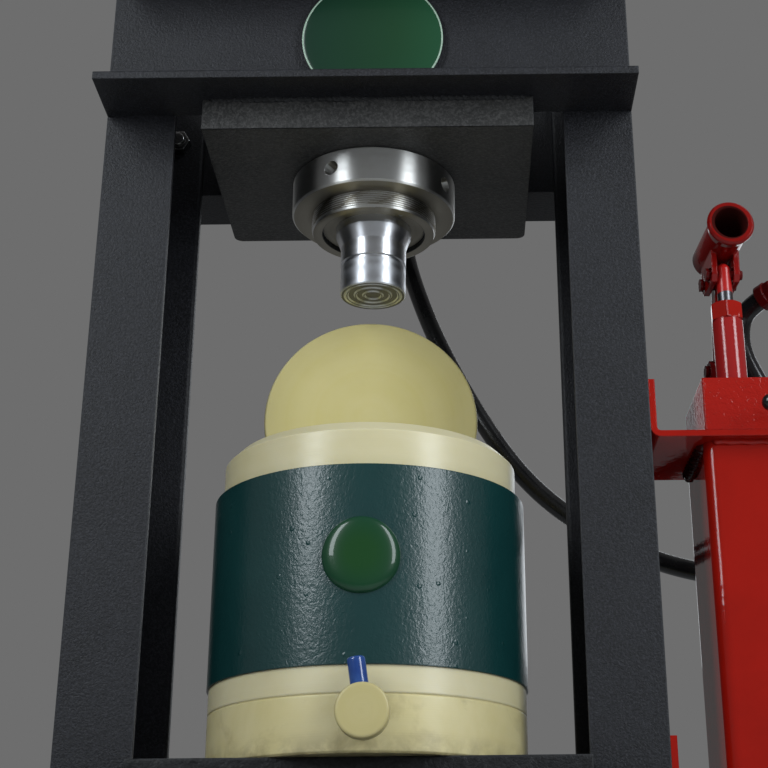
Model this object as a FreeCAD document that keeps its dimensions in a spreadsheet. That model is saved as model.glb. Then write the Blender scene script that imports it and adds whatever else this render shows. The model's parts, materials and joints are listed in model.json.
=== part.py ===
import FreeCAD, Part
import math
import os
import re
from types import SimpleNamespace

import Sketcher
from FreeCAD import Placement, Rotation, Vector

# Hydraulic oil press: a floor-standing frame of rolled channels, a 30 t cylinder in the crossbeam,
# an oil vessel on the bed and a hand pump on the right column.
# The ram axis is the Z axis, the floor is z = 0, and the operator stands on the -Y side.
# All sizes are in millimetres.
SIZES = {
    # frame
    "opening": 330,            # clear width between the columns' flange tips
    "section_depth": 140,      # rolled channel: depth, flange, web
    "flange_width": 58,
    "web_thick": 4.9,
    "flange_thick": 8.1,
    "root_radius": 8,
    "toe_radius": 3,
    "bed_height": 700,         # top of the bed plate above the floor
    "daylight": 510.8,         # bed plate to ram plate
    "plate_thick": 28,
    "plate_corner": 8,
    "ram_plate_width": 276,
    "ram_plate_depth": 204,
    "bed_plate_depth": 208,
    "ram_offset": 7.6,         # ram axis behind the columns' middle plane
    "side_gap": 0.4,           # bed plate to each column
    "foot_leg": 63,            # angle iron feet
    "foot_thick": 6,
    "foot_length": 520,
    "anchor_hole": 14,
    "anchor_spacing": 450,
    "anchor_inset": 34,        # anchor hole from the foot's outer face
    "tie_height": 60,
    "tie_thick": 6,
    "tie_lift": 120,
    "bolt_diameter": 12,
    "bolt_hole": 13,
    "bolt_head": 18.9,         # across flats
    "bolt_head_high": 7.5,
    "nut_high": 10.4,
    "washer_diameter": 24,
    "washer_thick": 2.4,
    "bolt_inset": 22.5,        # bolt from the column's flange tip
    "bolt_lift": 49,           # bolt above the beam's lower edge
    "bolt_past_nut": 4,
    "thread_gap": 0.15,
    "emblem_diameter": 121.4,
    "emblem_across": 2.4,
    "emblem_drop": 0.9,        # emblem below the middle of the crossbeam's web
    "emblem_standoff": 4,
    "emblem_pad": 80,
    "emblem_thick": 1.5,
    # hydraulic cylinder
    "cylinder_diameter": 121,
    "cylinder_bore": 85,
    "neck_diameter": 106,      # threaded neck through the ram plate
    "neck_below": 48,          # neck below the ram plate
    "neck_gap": 0.4,
    "nut_diameter": 143.5,
    "nut_height": 32.5,
    "nut_hole": 13,
    "nut_hole_deep": 12,
    "nut_chamfer": 1.5,
    "gland_diameter": 90,
    "gland_height": 32,
    "gland_recess": 4,
    "gland_hole": 5,
    "gland_hole_deep": 7,
    "gland_hole_circle": 79,
    "ram_diameter": 66,
    "ram_neck": 57,
    "ram_below": 50.8,         # full ram diameter ends this far below the ram plate
    "ram_cone": 12,
    "ram_tip": 82,             # joint with the saddle below the ram plate
    "saddle_diameter": 56.5,
    "saddle_height": 25,
    "saddle_groove": 1.2,
    "saddle_ring": 7.345,      # pitch of the rings on the saddle's face
    "ring_edge": 1,
    "joint_groove_deep": 1.4,  # groove above the saddle
    "joint_groove_high": 2.4,
    "spigot_diameter": 30,
    "spigot_length": 18,
    "spigot_room": 2,
    "ram_stroke": 200,
    "spring_wire": 5,          # square wire
    "spring_gap": 0.2,
    "spring_turns": 7,
    "spring_solid": 42,
    "spring_diameter": 76,     # mean diameter
    "piston_height": 30,
    "piston_gap": 0.06,
    "seal_width": 6,
    "seal_depth": 4,
    "seal_gap": 0.2,
    "rod_seal_rise": 19.84,    # top of the rod seal's groove above the gland's foot
    "ram_gap": 0.06,
    "fit_gap": 0.1,            # turned pieces that locate in each other
    "small_chamfer": 1,
    "top_gap": 2,              # oil space above the piston at rest
    "cap_spigot": 20,
    "cap_height": 32,
    "cap_chamfer": 3,
    "port_bore": 12,
    "port_hex": 24,
    "port_thread": 14,
    # vessel
    "tray_diameter": 247,
    "tray_height": 41,
    "tray_floor": 14,
    "tray_bore": 190,
    "tray_ledge": 8,
    "tray_chamfer": 1.5,
    "barrel_wall": 24.2,
    "barrel_flange": 20,
    "barrel_height": 206.5,     # tray joint to rim
    "rim_chamfer": 8.5,
    "bore_chamfer": 1.5,
    "sleeve_diameter": 250,
    "sleeve_wall": 6.2,
    "sleeve_height": 148.5,
    "sleeve_gap": 0.3,         # sleeve to barrel
    "grid_thick": 4,
    "grid_gap": 0.5,
    "grid_hole": 8,
    "grid_pitch": 35.185,      # from one ring of holes to the next
    "badge_diameter": 57.5,
    "badge_thick": 1.6,
    "badge_height": 140.2,     # badge centre above the bed plate
    "badge_across": 1,
    "disc_gap": 2.3,           # pressing disc to the barrel's bore
    "disc_thick": 25,
    "disc_back": 48,           # middle plane of the standing disc behind the ram axis
    "disc_yaw": 3.6,           # the disc stands turned by this much
    "disc_seat": 2.4,          # its rounded edge settles this far into the bore's chamfer
    "disc_fillet": 2,
    "tap_across": 5.6,
    "tap_height": 23,
    "tap_diameter": 34.5,
    "tap_head": 15,
    "tap_shank": 18,
    "tap_ahead": 38.5,         # front of the tap's head ahead of the vessel's widest ring
    "tap_room": 1.5,           # tap's shank short of the tray's well
    "tap_gap": 0.3,
    "lever_diameter": 13,
    "lever_length": 44,
    "lever_hub": 30,
    "lever_thick": 14,
    "lever_tilt": 8.8,
    # pump
    "bracket_thick": 5,
    "bracket_reach": 142,
    "bracket_depth": 112,
    "bracket_leg": 48,
    "bracket_radius": 8,
    "bracket_height": 245,     # upper bracket's underside above the bed plate
    "bracket_bolt_front": 49,  # bolts behind the column's front
    "bracket_bolt_back": 86.8,
    "bracket_bolt_high": 29.76,    # bolts above the upper bracket's underside
    "bracket_bolt_low": 21.6,      # bolts above the tank's floor
    "low_bracket_short": 8,    # the lower bracket reaches less far
    "tank_height": 272,
    "tank_width": 88,
    "tank_depth": 98,
    "tank_radius": 10,
    "tank_wall": 3,
    "tank_out": 43,            # tank from the column's web
    "tank_back": 12,           # tank front behind the column's front
    "filler_drop": 40,         # filler plug below the tank's top
    "filler_hole": 18,
    "filler_hex": 24,
    "filler_head": 9,
    "filler_stem": 6,          # stem past the tank's wall
    "block_out": 42.5,
    "block_width": 100,
    "block_depth": 92,
    "block_height": 43.6,
    "block_round": 1.5,
    "suction_tube": 12,
    "suction_bore": 8,
    "suction_hole": 16,
    "suction_short": 30,       # the tube is this much shorter than the tank
    "ball_diameter": 9.2,
    "ball_pocket": 11,
    "pocket_deep": 9,
    "ball_lift": 0.1,          # ball above its seat
    "cross_bore": 5,
    "riser_bore_deep": 18,
    "side_hole": 4.4,
    "side_hole_deep": 9,
    "side_hole_back": 14,      # holes ahead of the block's back
    "side_hole_low": 10,
    "side_hole_high": 24,
    "pump_out": 73,            # plunger axis from the column's web
    "pump_back": 33,           # plunger axis behind the column's front
    "pump_yaw": 4,
    "pump_diameter": 25,
    "pump_height": 61.4,
    "pump_hex": 24.5,
    "pump_hex_high": 16,
    "pump_spigot": 18,
    "pump_relief": 1.2,        # relief at the pump cylinder's foot
    "pump_relief_high": 3,
    "nut_bevel": 2,
    "nut_corner": 2.4,         # bevelled nut past the pump cylinder
    "nut_face": 0.4,
    "plunger_diameter": 12.6,
    "plunger_gap": 0.05,
    "plunger_rise": 28,        # pin above the pump hexagon's top
    "plunger_reach": 82,       # plunger below its pin
    "eye_height": 24,
    "eye_crown": 2,            # crown lower than the eye's half height
    "pin_diameter": 8,
    "pin_length": 31,
    "pin_head": 11,
    "pin_head_thick": 2.6,
    "pin_clip_thick": 2.2,
    "pin_past_clip": 1.4,
    "lug_pin_head": 2.8,
    "lug_pin_past": 3,         # lug pin past the lug at each side
    "pin_gap": 0.05,
    "link_arm": 21,            # plunger pin to link pin
    "link_width": 8,
    "link_side": 7,            # half the link's depth
    "lug_back": 38,
    "lug_height": 33,          # lug pin above the block
    "lug_thick": 5,
    "lug_side": 9,             # half the lug's depth
    "lug_crown": 8.5,          # lug above its pin
    "lug_top": 4,
    "lug_shoulder": 3,
    "lug_gap": 0.4,
    "ear_gap": 0.7,
    "ear_thick": 4.8,
    "ear_front": 9,            # ear's front edge ahead of the plunger pin
    "ear_front_high": 11,
    "ear_front_low": 5,
    "ear_drop": 8.5,           # ear below the pins
    "ear_back": 8.5,           # ear behind the link pin
    "ear_back_high": 5,
    "ear_corner": 3,
    "ear_step": 4,
    "ear_lean": 0.5,
    "ear_root": 9,             # ear ends this far below the socket's axis
    "slot_room": 1.3,          # slot wider than the pin at each side
    "slot_length": 2.6,
    "socket_bite": 1,          # the ears reach into the socket's wall
    "socket_rise": 30,         # socket axis above the pins
    "socket_length": 73,
    "socket_behind": 35,
    "socket_bore": 27,
    "socket_diameter": 33,
    "socket_rim": 39,
    "flare_start": 14,         # flare from the socket's front end
    "flare_end": 6,
    "rim_land": 2,
    "rim_round": 1.5,
    "mouth_chamfer": 1,
    "valve_out": 113,
    "valve_height": 14,        # valve axis above the upper bracket
    "valve_ahead": 22,
    "valve_bar": 46,
    "valve_tip": 13.4,
    "valve_stem": 8,
    "valve_stem_deep": 18,
    "valve_stem_past": 6,      # stem past the cross bar
    "valve_rod": 6,
    "valve_gap": 0.2,
    "valve_hex": 20,
    "valve_hex_high": 8,
    "valve_nut_gap": 0.3,
    "valve_bore": 12,
    "valve_bore_deep": 23,
    "riser_out": 134,
    "riser_back": 79.6,
    "riser_height": 412,       # the riser's knee above the bed plate
    "riser_diameter": 12,
    # hose
    "hose_diameter": 17.5,
    "ferrule_diameter": 24,
    "ferrule_length": 32,
    "end_ferrule": 8,
    "swivel_nut": 7,
    "swivel_hex": 19,
}

doc = FreeCAD.newDocument("OilPress")
sheet = doc.addObject("Spreadsheet::Sheet", "Sizes")
for row, (alias, value) in enumerate(SIZES.items(), 1):
    sheet.set(f"A{row}", str(value))
    sheet.setAlias(f"A{row}", alias)
doc.recompute()
mm = SimpleNamespace(**{alias: float(sheet.get(alias)) for alias in SIZES})

# Places that several pieces share, written as expressions on the sheet
COLUMN_FRONT = "(-section_depth / 2 - ram_offset)"
COLUMN_BACK = "(section_depth / 2 - ram_offset)"
COLUMN_SIDE = "(opening / 2 + flange_width)"
PLATE_LOW = "(bed_height + daylight)"
BEAM_LOW = "(bed_height + daylight + plate_thick)"
BED_BEAM_LOW = "(bed_height - plate_thick - section_depth)"
GLAND_LOW = "(bed_height + daylight - neck_below + gland_recess)"
GLAND_TOP = "(bed_height + daylight - neck_below + gland_recess + gland_height)"
PISTON_LOW = f"({GLAND_TOP} + spring_solid + ram_stroke)"
PISTON_TOP = f"({PISTON_LOW} + piston_height)"
CAP_LOW = f"({PISTON_TOP} + top_gap + cap_spigot)"
RAM_TIP = "(bed_height + daylight - ram_tip)"
TRAY_TOP = "(bed_height + tray_height)"
SLEEVE_LOW = "(bed_height + tray_height + barrel_flange)"
RIM = "(bed_height + tray_height + barrel_height)"
TRAY_FRONT = "(-tray_diameter / 2)"
TAP_FRONT = "(-max(tray_diameter; sleeve_diameter) / 2 - tap_ahead)"
BARREL = "(sleeve_diameter / 2 - sleeve_wall - sleeve_gap)"
BORE = "(sleeve_diameter / 2 - sleeve_wall - sleeve_gap - barrel_wall)"
BRACKET = "(bed_height + bracket_height)"
BLOCK_LOW = "(bed_height + bracket_height + bracket_thick)"
BLOCK_TOP = "(bed_height + bracket_height + bracket_thick + block_height)"
PUMP_ACROSS = "(opening / 2 + flange_width + pump_out)"
PUMP_DEPTH = "(-section_depth / 2 - ram_offset + pump_back)"
HEX_TOP = f"({BLOCK_TOP} + pump_height + pump_hex_high)"
PIN_HEIGHT = f"({HEX_TOP} + plunger_rise)"
RISER = ("(opening / 2 + flange_width + riser_out)", f"({COLUMN_FRONT} + riser_back)")
VALVE = ("(opening / 2 + flange_width + valve_out)", COLUMN_FRONT, f"({BLOCK_LOW} + valve_height)")
NUT_TURN = 22.0    # degrees: where the pump's nut stopped when it was tightened

TOUCH = 0.01    # two positions nearer than this are the same
PAST = 1        # a cutting tool reaches this far past the face that it opens

TURN = {
    "+z": Rotation(),
    "-z": Rotation(Vector(1, 0, 0), 180),
    "+y": Rotation(Vector(1, 0, 0), -90),
    "-y": Rotation(Vector(1, 0, 0), 90),
    "+x": Rotation(Vector(0, 1, 0), 90),
    "-x": Rotation(Vector(0, 1, 0), -90),
}
nodes = []


def bound(text):
    """The expression with every size name pointed at the sheet."""
    return re.sub(r"[a-z_]+", lambda word: "Sizes." + word.group() if word.group() in SIZES else word.group(),
                  str(text))


def bind(thing, **texts):
    for name, text in texts.items():
        thing.setExpression(name, bound(text))
    return thing


def put(thing, at, along="+z", spin=0.0):
    """Stand a thing at a place, its own Z axis along the named direction."""
    thing.Placement = Placement(Vector(), TURN[along] * Rotation(Vector(0, 0, 1), spin))
    for axis, text in zip("xyz", at):
        thing.setExpression(f"Placement.Base.{axis}", bound(text))
    return thing


def node(name, thing):
    """Name a finished piece."""
    thing.Label = name
    nodes.append(thing)
    return thing


def box(name, size, at):
    block = doc.addObject("Part::Box", name)
    bind(block, Length=size[0], Width=size[1], Height=size[2])
    return put(block, at)


def cylinder(name, radius, height, at, along="+z"):
    thing = doc.addObject("Part::Cylinder", name)
    bind(thing, Radius=radius, Height=height)
    return put(thing, at, along)


def sphere(name, radius, at):
    return put(bind(doc.addObject("Part::Sphere", name), Radius=radius), at)


def hexagon(name, flats, height, at, along="+z", spin=0.0):
    """A hexagonal bar, sized across its flats."""
    thing = doc.addObject("Part::Prism", name)
    thing.Polygon = 6
    bind(thing, Circumradius=f"({flats}) / {math.sqrt(3)}", Height=height)
    return put(thing, at, along, spin)


def fuse(name, *things):
    joined = doc.addObject("Part::MultiFuse", name)
    joined.Shapes = list(things)
    return joined


def cut(name, base, *tools):
    """The base less its tools."""
    result = doc.addObject("Part::Cut", name)
    result.Base = base
    result.Tool = tools[0] if len(tools) == 1 else fuse(name + "_tools", *tools)
    return result


def common(name, base, tool):
    result = doc.addObject("Part::Common", name)
    result.Base, result.Tool = base, tool
    return result


def sketched(name, role, outline, start="0"):
    """A body with one closed outline of straight lines, each corner bound to the sheet."""
    body = doc.addObject("PartDesign::Body", name)
    sketch = body.newObject("Sketcher::SketchObject", name + "_outline")
    plane = [item for item in body.Origin.OriginFeatures if item.Role == role][0]
    sketch.AttachmentSupport = [(plane, "")]
    sketch.MapMode = "FlatFace"
    sketch.setExpression("AttachmentOffset.Base.z", bound(start))
    count = len(outline)
    draft = [Vector(math.cos(math.tau * i / count), math.sin(math.tau * i / count), 0) for i in range(count)]
    for i in range(count):
        sketch.addGeometry(Part.LineSegment(draft[i], draft[(i + 1) % count]), False)
    for i in range(count):
        sketch.addConstraint(Sketcher.Constraint("Coincident", i, 2, (i + 1) % count, 1))
    for i, corner in enumerate(outline):
        for kind, text, size in zip(("DistanceX", "DistanceY"), corner, draft[i]):
            number = sketch.addConstraint(Sketcher.Constraint(kind, -1, 1, i, 1, size))
            sketch.setExpression(f"Constraints[{number}]", bound(text))
    return body, sketch


def extrude(name, role, outline, start, length):
    """An outline on an origin plane, raised along the plane's normal from start."""
    body, sketch = sketched(name, role, outline, start)
    pad = body.newObject("PartDesign::Pad", name + "_pad")
    pad.Profile = sketch
    pad.setExpression("Length", bound(length))
    doc.recompute()
    return body


def turned(name, outline):
    """A turned piece: radius and height of each corner, spun about the Z axis."""
    body, sketch = sketched(name, "XZ_Plane", outline)
    spin = body.newObject("PartDesign::Revolution", name + "_turned")
    spin.Profile = sketch
    spin.ReferenceAxis = ([item for item in body.Origin.OriginFeatures if item.Role == "Z_Axis"][0], [""])
    spin.Angle = 360
    doc.recompute()
    return body


def rounded(body, radius, along, wanted):
    """Round the straight edges along an axis that wanted(middle, box) picks."""
    tip = body.Tip
    names = []
    for number, edge in enumerate(tip.Shape.Edges, 1):
        run = edge.Vertexes[-1].Point - edge.Vertexes[0].Point
        straight = len(edge.Vertexes) == 2 and abs(run.Length - edge.Length) < 1e-6
        if straight and abs(run.normalize().dot(along)) > 0.999 and wanted(edge.CenterOfMass, tip.Shape.BoundBox):
            names.append(f"Edge{number}")
    fillet = body.newObject("PartDesign::Fillet", f"{body.Name}_{tip.Name}_round")
    fillet.Base = (tip, names)
    fillet.setExpression("Radius", bound(radius))
    doc.recompute()
    return body


X, Y, Z = Vector(1, 0, 0), Vector(0, 1, 0), Vector(0, 0, 1)


def channel(name, role, back, side, low, start, length):
    """A rolled channel. Its web's back is at back, and its flanges reach to the given side (1 or -1)."""
    tip, web = f"{back} + {side} * flange_width", f"{back} + {side} * web_thick"
    high = f"{low} + section_depth"
    outline = [(back, low), (tip, low), (tip, f"{low} + flange_thick"), (web, f"{low} + flange_thick"),
               (web, f"{high} - flange_thick"), (tip, f"{high} - flange_thick"), (tip, high), (back, high)]
    body = extrude(name, role, outline, start, length)
    along, across, deep = (Z, "x", "y") if role == "XY_Plane" else (X, "y", "z")
    extreme = {"x": ("XMin", "XMax"), "y": ("YMin", "YMax"), "z": ("ZMin", "ZMax")}

    def inside(point, box_, axis):
        low_, high_ = (getattr(box_, key) for key in extreme[axis])
        return low_ + TOUCH < getattr(point, axis) < high_ - TOUCH

    rounded(body, "root_radius", along,
            lambda point, box_: inside(point, box_, across) and inside(point, box_, deep))
    tip_key = extreme[across][1 if side > 0 else 0]
    return rounded(body, "toe_radius", along,
                   lambda point, box_: inside(point, box_, deep)
                   and abs(getattr(point, across) - getattr(box_, tip_key)) < TOUCH)


def columns():
    """Two channels with their webs outwards, drilled for the beams' bolts and the pump's brackets."""
    for name, side in (("left_column", -1), ("right_column", 1)):
        blank = channel(name + "_blank", "XY_Plane", f"{side} * {COLUMN_SIDE}", -side, COLUMN_FRONT,
                        "foot_thick", f"{BEAM_LOW} + section_depth - foot_thick")
        holes = [cylinder(f"{name}_hole_{level}", "bolt_hole / 2", f"flange_thick + 2 * {PAST}",
                          (f"{side} * (opening / 2 + bolt_inset)", f"{COLUMN_BACK} - flange_thick - {PAST}",
                           height),
                          "+y")
                 for level, height in (("low", f"{BED_BEAM_LOW} + bolt_lift"), ("high", f"{BEAM_LOW} + bolt_lift"))]
        if side > 0:
            holes += bracket_holes(name, f"{COLUMN_SIDE} - web_thick - {PAST}", f"web_thick + 2 * {PAST}")
        node(name, cut(name + "_cut", blank, *holes))


def bracket_places():
    """The bolts that hold the pump's two brackets: depth and height of each."""
    depths = (f"{COLUMN_FRONT} + bracket_bolt_front", f"{COLUMN_FRONT} + bracket_bolt_back")
    heights = (f"{BRACKET} + bracket_bolt_high", f"{BRACKET} - tank_height + bracket_bolt_low")
    return [(depth, height) for height in heights for depth in depths]


def bracket_holes(name, start, length, pick=range(4)):
    return [cylinder(f"{name}_bracket_hole_{i}", "bolt_hole / 2", length, (start, *bracket_places()[i]), "+x")
            for i in pick]


def beams():
    """Channels before and behind the columns: a pair at the top and a pair under the bed."""
    for name, back, side in (("front", COLUMN_FRONT, -1), ("rear", COLUMN_BACK, 1)):
        for kind, low in (("crossbeam", BEAM_LOW), ("bed_beam", BED_BEAM_LOW)):
            label = f"{name}_{kind}"
            blank = channel(label + "_blank", "YZ_Plane", back, side, low, f"-{COLUMN_SIDE}",
                            f"2 * {COLUMN_SIDE}")
            if side < 0:
                node(label, blank)
                continue
            holes = [cylinder(f"{label}_hole_{i}", "bolt_hole / 2", f"web_thick + 2 * {PAST}",
                              (f"{across} * (opening / 2 + bolt_inset)", f"{back} - {PAST}",
                               f"{low} + bolt_lift"), "+y")
                     for i, across in enumerate((-1, 1))]
            node(label, cut(label + "_cut", blank, *holes))


def plates():
    """The thick plates that spread the load: the ram plate with the cylinder's hole, and the bed."""
    half = "ram_plate_width / 2"
    blank = extrude("ram_plate_blank", "XY_Plane",
                    [(f"-{half}", "-ram_plate_depth / 2"), (half, "-ram_plate_depth / 2"),
                     (half, "ram_plate_depth / 2"), (f"-{half}", "ram_plate_depth / 2")],
                    PLATE_LOW, "plate_thick")
    rounded(blank, "plate_corner", Z, lambda point, box_: point.y > 0)
    hole = cylinder("ram_plate_hole", "neck_diameter / 2 + neck_gap", f"plate_thick + 2 * {PAST}",
                    ("0", "0", f"{PLATE_LOW} - {PAST}"))
    node("ram_plate", cut("ram_plate_cut", blank, hole))
    half = "(opening / 2 - side_gap)"
    bed = extrude("bed_plate_blank", "XY_Plane",
                  [(f"-{half}", "-bed_plate_depth / 2"), (half, "-bed_plate_depth / 2"),
                   (half, "bed_plate_depth / 2"), (f"-{half}", "bed_plate_depth / 2")],
                  "bed_height - plate_thick", "plate_thick")
    node("bed_plate", bed)


def feet():
    """An angle iron under each column, one leg up the web's outside, and a tie across the back."""
    for name, side in (("left_foot", -1), ("right_foot", 1)):
        web = f"{side} * {COLUMN_SIDE}"
        outer = f"{web} + {side} * foot_thick"
        inner = f"{outer} - {side} * foot_leg"
        outline = [(outer, "0"), (outer, "foot_leg"), (web, "foot_leg"), (web, "foot_thick"),
                   (inner, "foot_thick"), (inner, "0")]
        body = extrude(name + "_blank", "XZ_Plane", outline, "-foot_length / 2", "foot_length")
        holes = [cylinder(f"{name}_hole_{i}", "anchor_hole / 2", f"foot_thick + 2 * {PAST}",
                          (f"{outer} - {side} * anchor_inset", f"{along} * anchor_spacing / 2", f"-{PAST}"))
                 for i, along in enumerate((-1, 1))]
        node(name, cut(name + "_cut", body, *holes))
    node("rear_tie", box("rear_tie_bar", (f"2 * {COLUMN_SIDE}", "tie_thick", "tie_height"),
                         (f"-{COLUMN_SIDE}", COLUMN_BACK, "tie_lift")))


def beam_bolts():
    """Bolts through the rear beams and the columns' rear flanges, heads behind and nuts inside."""
    places = [(f"{side} * (opening / 2 + bolt_inset)", f"{low} + bolt_lift")
              for low in (BED_BEAM_LOW, BEAM_LOW) for side in (-1, 1)]
    head_at = f"({COLUMN_BACK} + web_thick)"
    nut_at = f"({COLUMN_BACK} - flange_thick)"
    bolts, washers, nuts = [], [], []
    for i, (across, height) in enumerate(places):
        head = hexagon(f"beam_bolt_head_{i}", "bolt_head", "bolt_head_high",
                       (across, f"{head_at} + washer_thick", height), "+y")
        shank = cylinder(f"beam_bolt_shank_{i}", "bolt_diameter / 2",
                         "web_thick + flange_thick + washer_thick + nut_high + bolt_past_nut",
                         (across, f"{nut_at} - nut_high - bolt_past_nut", height), "+y")
        bolts.append(fuse(f"beam_bolt_{i}", head, shank))
        ring = cylinder(f"beam_washer_ring_{i}", "washer_diameter / 2", "washer_thick",
                        (across, head_at, height), "+y")
        hole = cylinder(f"beam_washer_hole_{i}", "bolt_hole / 2", f"washer_thick + 2 * {PAST}",
                        (across, f"{head_at} - {PAST}", height), "+y")
        washers.append(cut(f"beam_washer_{i}", ring, hole))
        blank = hexagon(f"beam_nut_blank_{i}", "bolt_head", "nut_high", (across, nut_at, height), "-y")
        hole = cylinder(f"beam_nut_hole_{i}", "bolt_diameter / 2 + thread_gap", f"nut_high + 2 * {PAST}",
                        (across, f"{nut_at} + {PAST}", height), "-y")
        nuts.append(cut(f"beam_nut_{i}", blank, hole))
    node("beam_bolts", fuse("beam_bolts_all", *bolts))
    node("beam_washers", fuse("beam_washers_all", *washers))
    node("beam_nuts", fuse("beam_nuts_all", *nuts))


def emblem():
    """The round emblem plate on the crossbeam's front web, on a pad that clears the web's root radii."""
    face = f"({COLUMN_FRONT} - web_thick)"
    middle = f"{BEAM_LOW} + section_depth / 2 - emblem_drop"
    node("crossbeam_emblem", fuse("crossbeam_emblem_all",
                                  cylinder("emblem_back", "emblem_pad / 2", "emblem_standoff",
                                           ("emblem_across", face, middle), "-y"),
                                  cylinder("emblem_disc", "emblem_diameter / 2", "emblem_thick",
                                           ("emblem_across", f"{face} - emblem_standoff", middle), "-y")))


def hydraulic_cylinder():
    """The cylinder hangs by its shoulder on the ram plate, and the ring nut pulls it down from below."""
    neck_low = f"({PLATE_LOW} - neck_below)"
    bore, outer = "cylinder_bore / 2", "cylinder_diameter / 2"
    neck, seat = "neck_diameter / 2", "gland_diameter / 2"
    node("cylinder_tube", turned("cylinder_tube_body", [
        (bore, CAP_LOW), (outer, CAP_LOW), (outer, BEAM_LOW), (neck, BEAM_LOW), (neck, neck_low),
        (seat, neck_low), (seat, GLAND_TOP), (bore, GLAND_TOP)]))

    ring = turned("ring_nut_body", [
        (f"{neck} + neck_gap", f"{PLATE_LOW} - nut_height"),
        ("nut_diameter / 2 - nut_chamfer", f"{PLATE_LOW} - nut_height"),
        ("nut_diameter / 2", f"{PLATE_LOW} - nut_height + nut_chamfer"),
        ("nut_diameter / 2", f"{PLATE_LOW} - nut_chamfer"),
        ("nut_diameter / 2 - nut_chamfer", PLATE_LOW), (f"{neck} + neck_gap", PLATE_LOW)])
    holes = []
    for i, angle in enumerate((-117.5, -27.5, 62.5, 152.5)):
        hole = doc.addObject("Part::Cylinder", f"ring_nut_hole_{i}")
        bind(hole, Radius="nut_hole / 2", Height=f"nut_hole_deep + 2 * {PAST}")
        way = Vector(math.cos(math.radians(angle)), math.sin(math.radians(angle)), 0)
        hole.Placement = Placement(Vector(), Rotation(Z, way))
        reach = "(nut_diameter / 2 - nut_hole_deep)"
        hole.setExpression("Placement.Base.x", bound(f"{reach} * {way.x}"))
        hole.setExpression("Placement.Base.y", bound(f"{reach} * {way.y}"))
        hole.setExpression("Placement.Base.z", bound(f"{PLATE_LOW} - nut_height / 2"))
        holes.append(hole)
    node("ring_nut", cut("ring_nut_cut", ring, *holes))

    rod = "ram_diameter / 2 + ram_gap"
    seal_top = f"({GLAND_LOW} + rod_seal_rise)"
    seal_low = f"({GLAND_LOW} + rod_seal_rise - seal_width)"
    gland = turned("gland_body", [
        (rod, GLAND_LOW), ("gland_diameter / 2 - small_chamfer", GLAND_LOW),
        ("gland_diameter / 2 - fit_gap", f"{GLAND_LOW} + small_chamfer"),
        ("gland_diameter / 2 - fit_gap", GLAND_TOP), (rod, GLAND_TOP),
        (rod, seal_top), (f"{rod} + seal_depth", seal_top),
        (f"{rod} + seal_depth", seal_low), (rod, seal_low)])
    pins = [cylinder(f"gland_hole_{i}", "gland_hole / 2", f"gland_hole_deep + {PAST}",
                     (f"gland_hole_circle / 2 * {math.cos(a)}", f"gland_hole_circle / 2 * {math.sin(a)}",
                      f"{GLAND_LOW} - {PAST}"))
            for i, a in enumerate((math.radians(-50), math.radians(130)))]
    node("gland", cut("gland_cut", gland, *pins))
    node("rod_seal", turned("rod_seal_body", [
        (rod, f"{seal_top} - seal_gap"), (rod, f"{seal_low} + seal_gap"),
        (f"{rod} + seal_depth - seal_gap", f"{seal_low} + seal_gap"),
        (f"{rod} + seal_depth - seal_gap", f"{seal_top} - seal_gap")]))

    cap = turned("cylinder_cap_body", [
        ("0", f"{CAP_LOW} - cap_spigot"), (f"{bore} - fit_gap", f"{CAP_LOW} - cap_spigot"),
        (f"{bore} - fit_gap", CAP_LOW), (outer, CAP_LOW), (outer, f"{CAP_LOW} + cap_height - cap_chamfer"),
        (f"{outer} - cap_chamfer", f"{CAP_LOW} + cap_height"), ("0", f"{CAP_LOW} + cap_height")])
    port = cylinder("cap_port", "port_bore / 2", f"{outer} + 2 * {PAST}",
                    ("0", "0", f"{CAP_LOW} + cap_height / 2"), "+y")
    drop = cylinder("cap_passage", "port_bore / 4", f"cap_spigot + cap_height / 2 + {PAST}",
                    ("0", "0", f"{CAP_LOW} - cap_spigot - {PAST}"))
    node("cylinder_cap", cut("cylinder_cap_cut", cap, port, drop))


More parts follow.
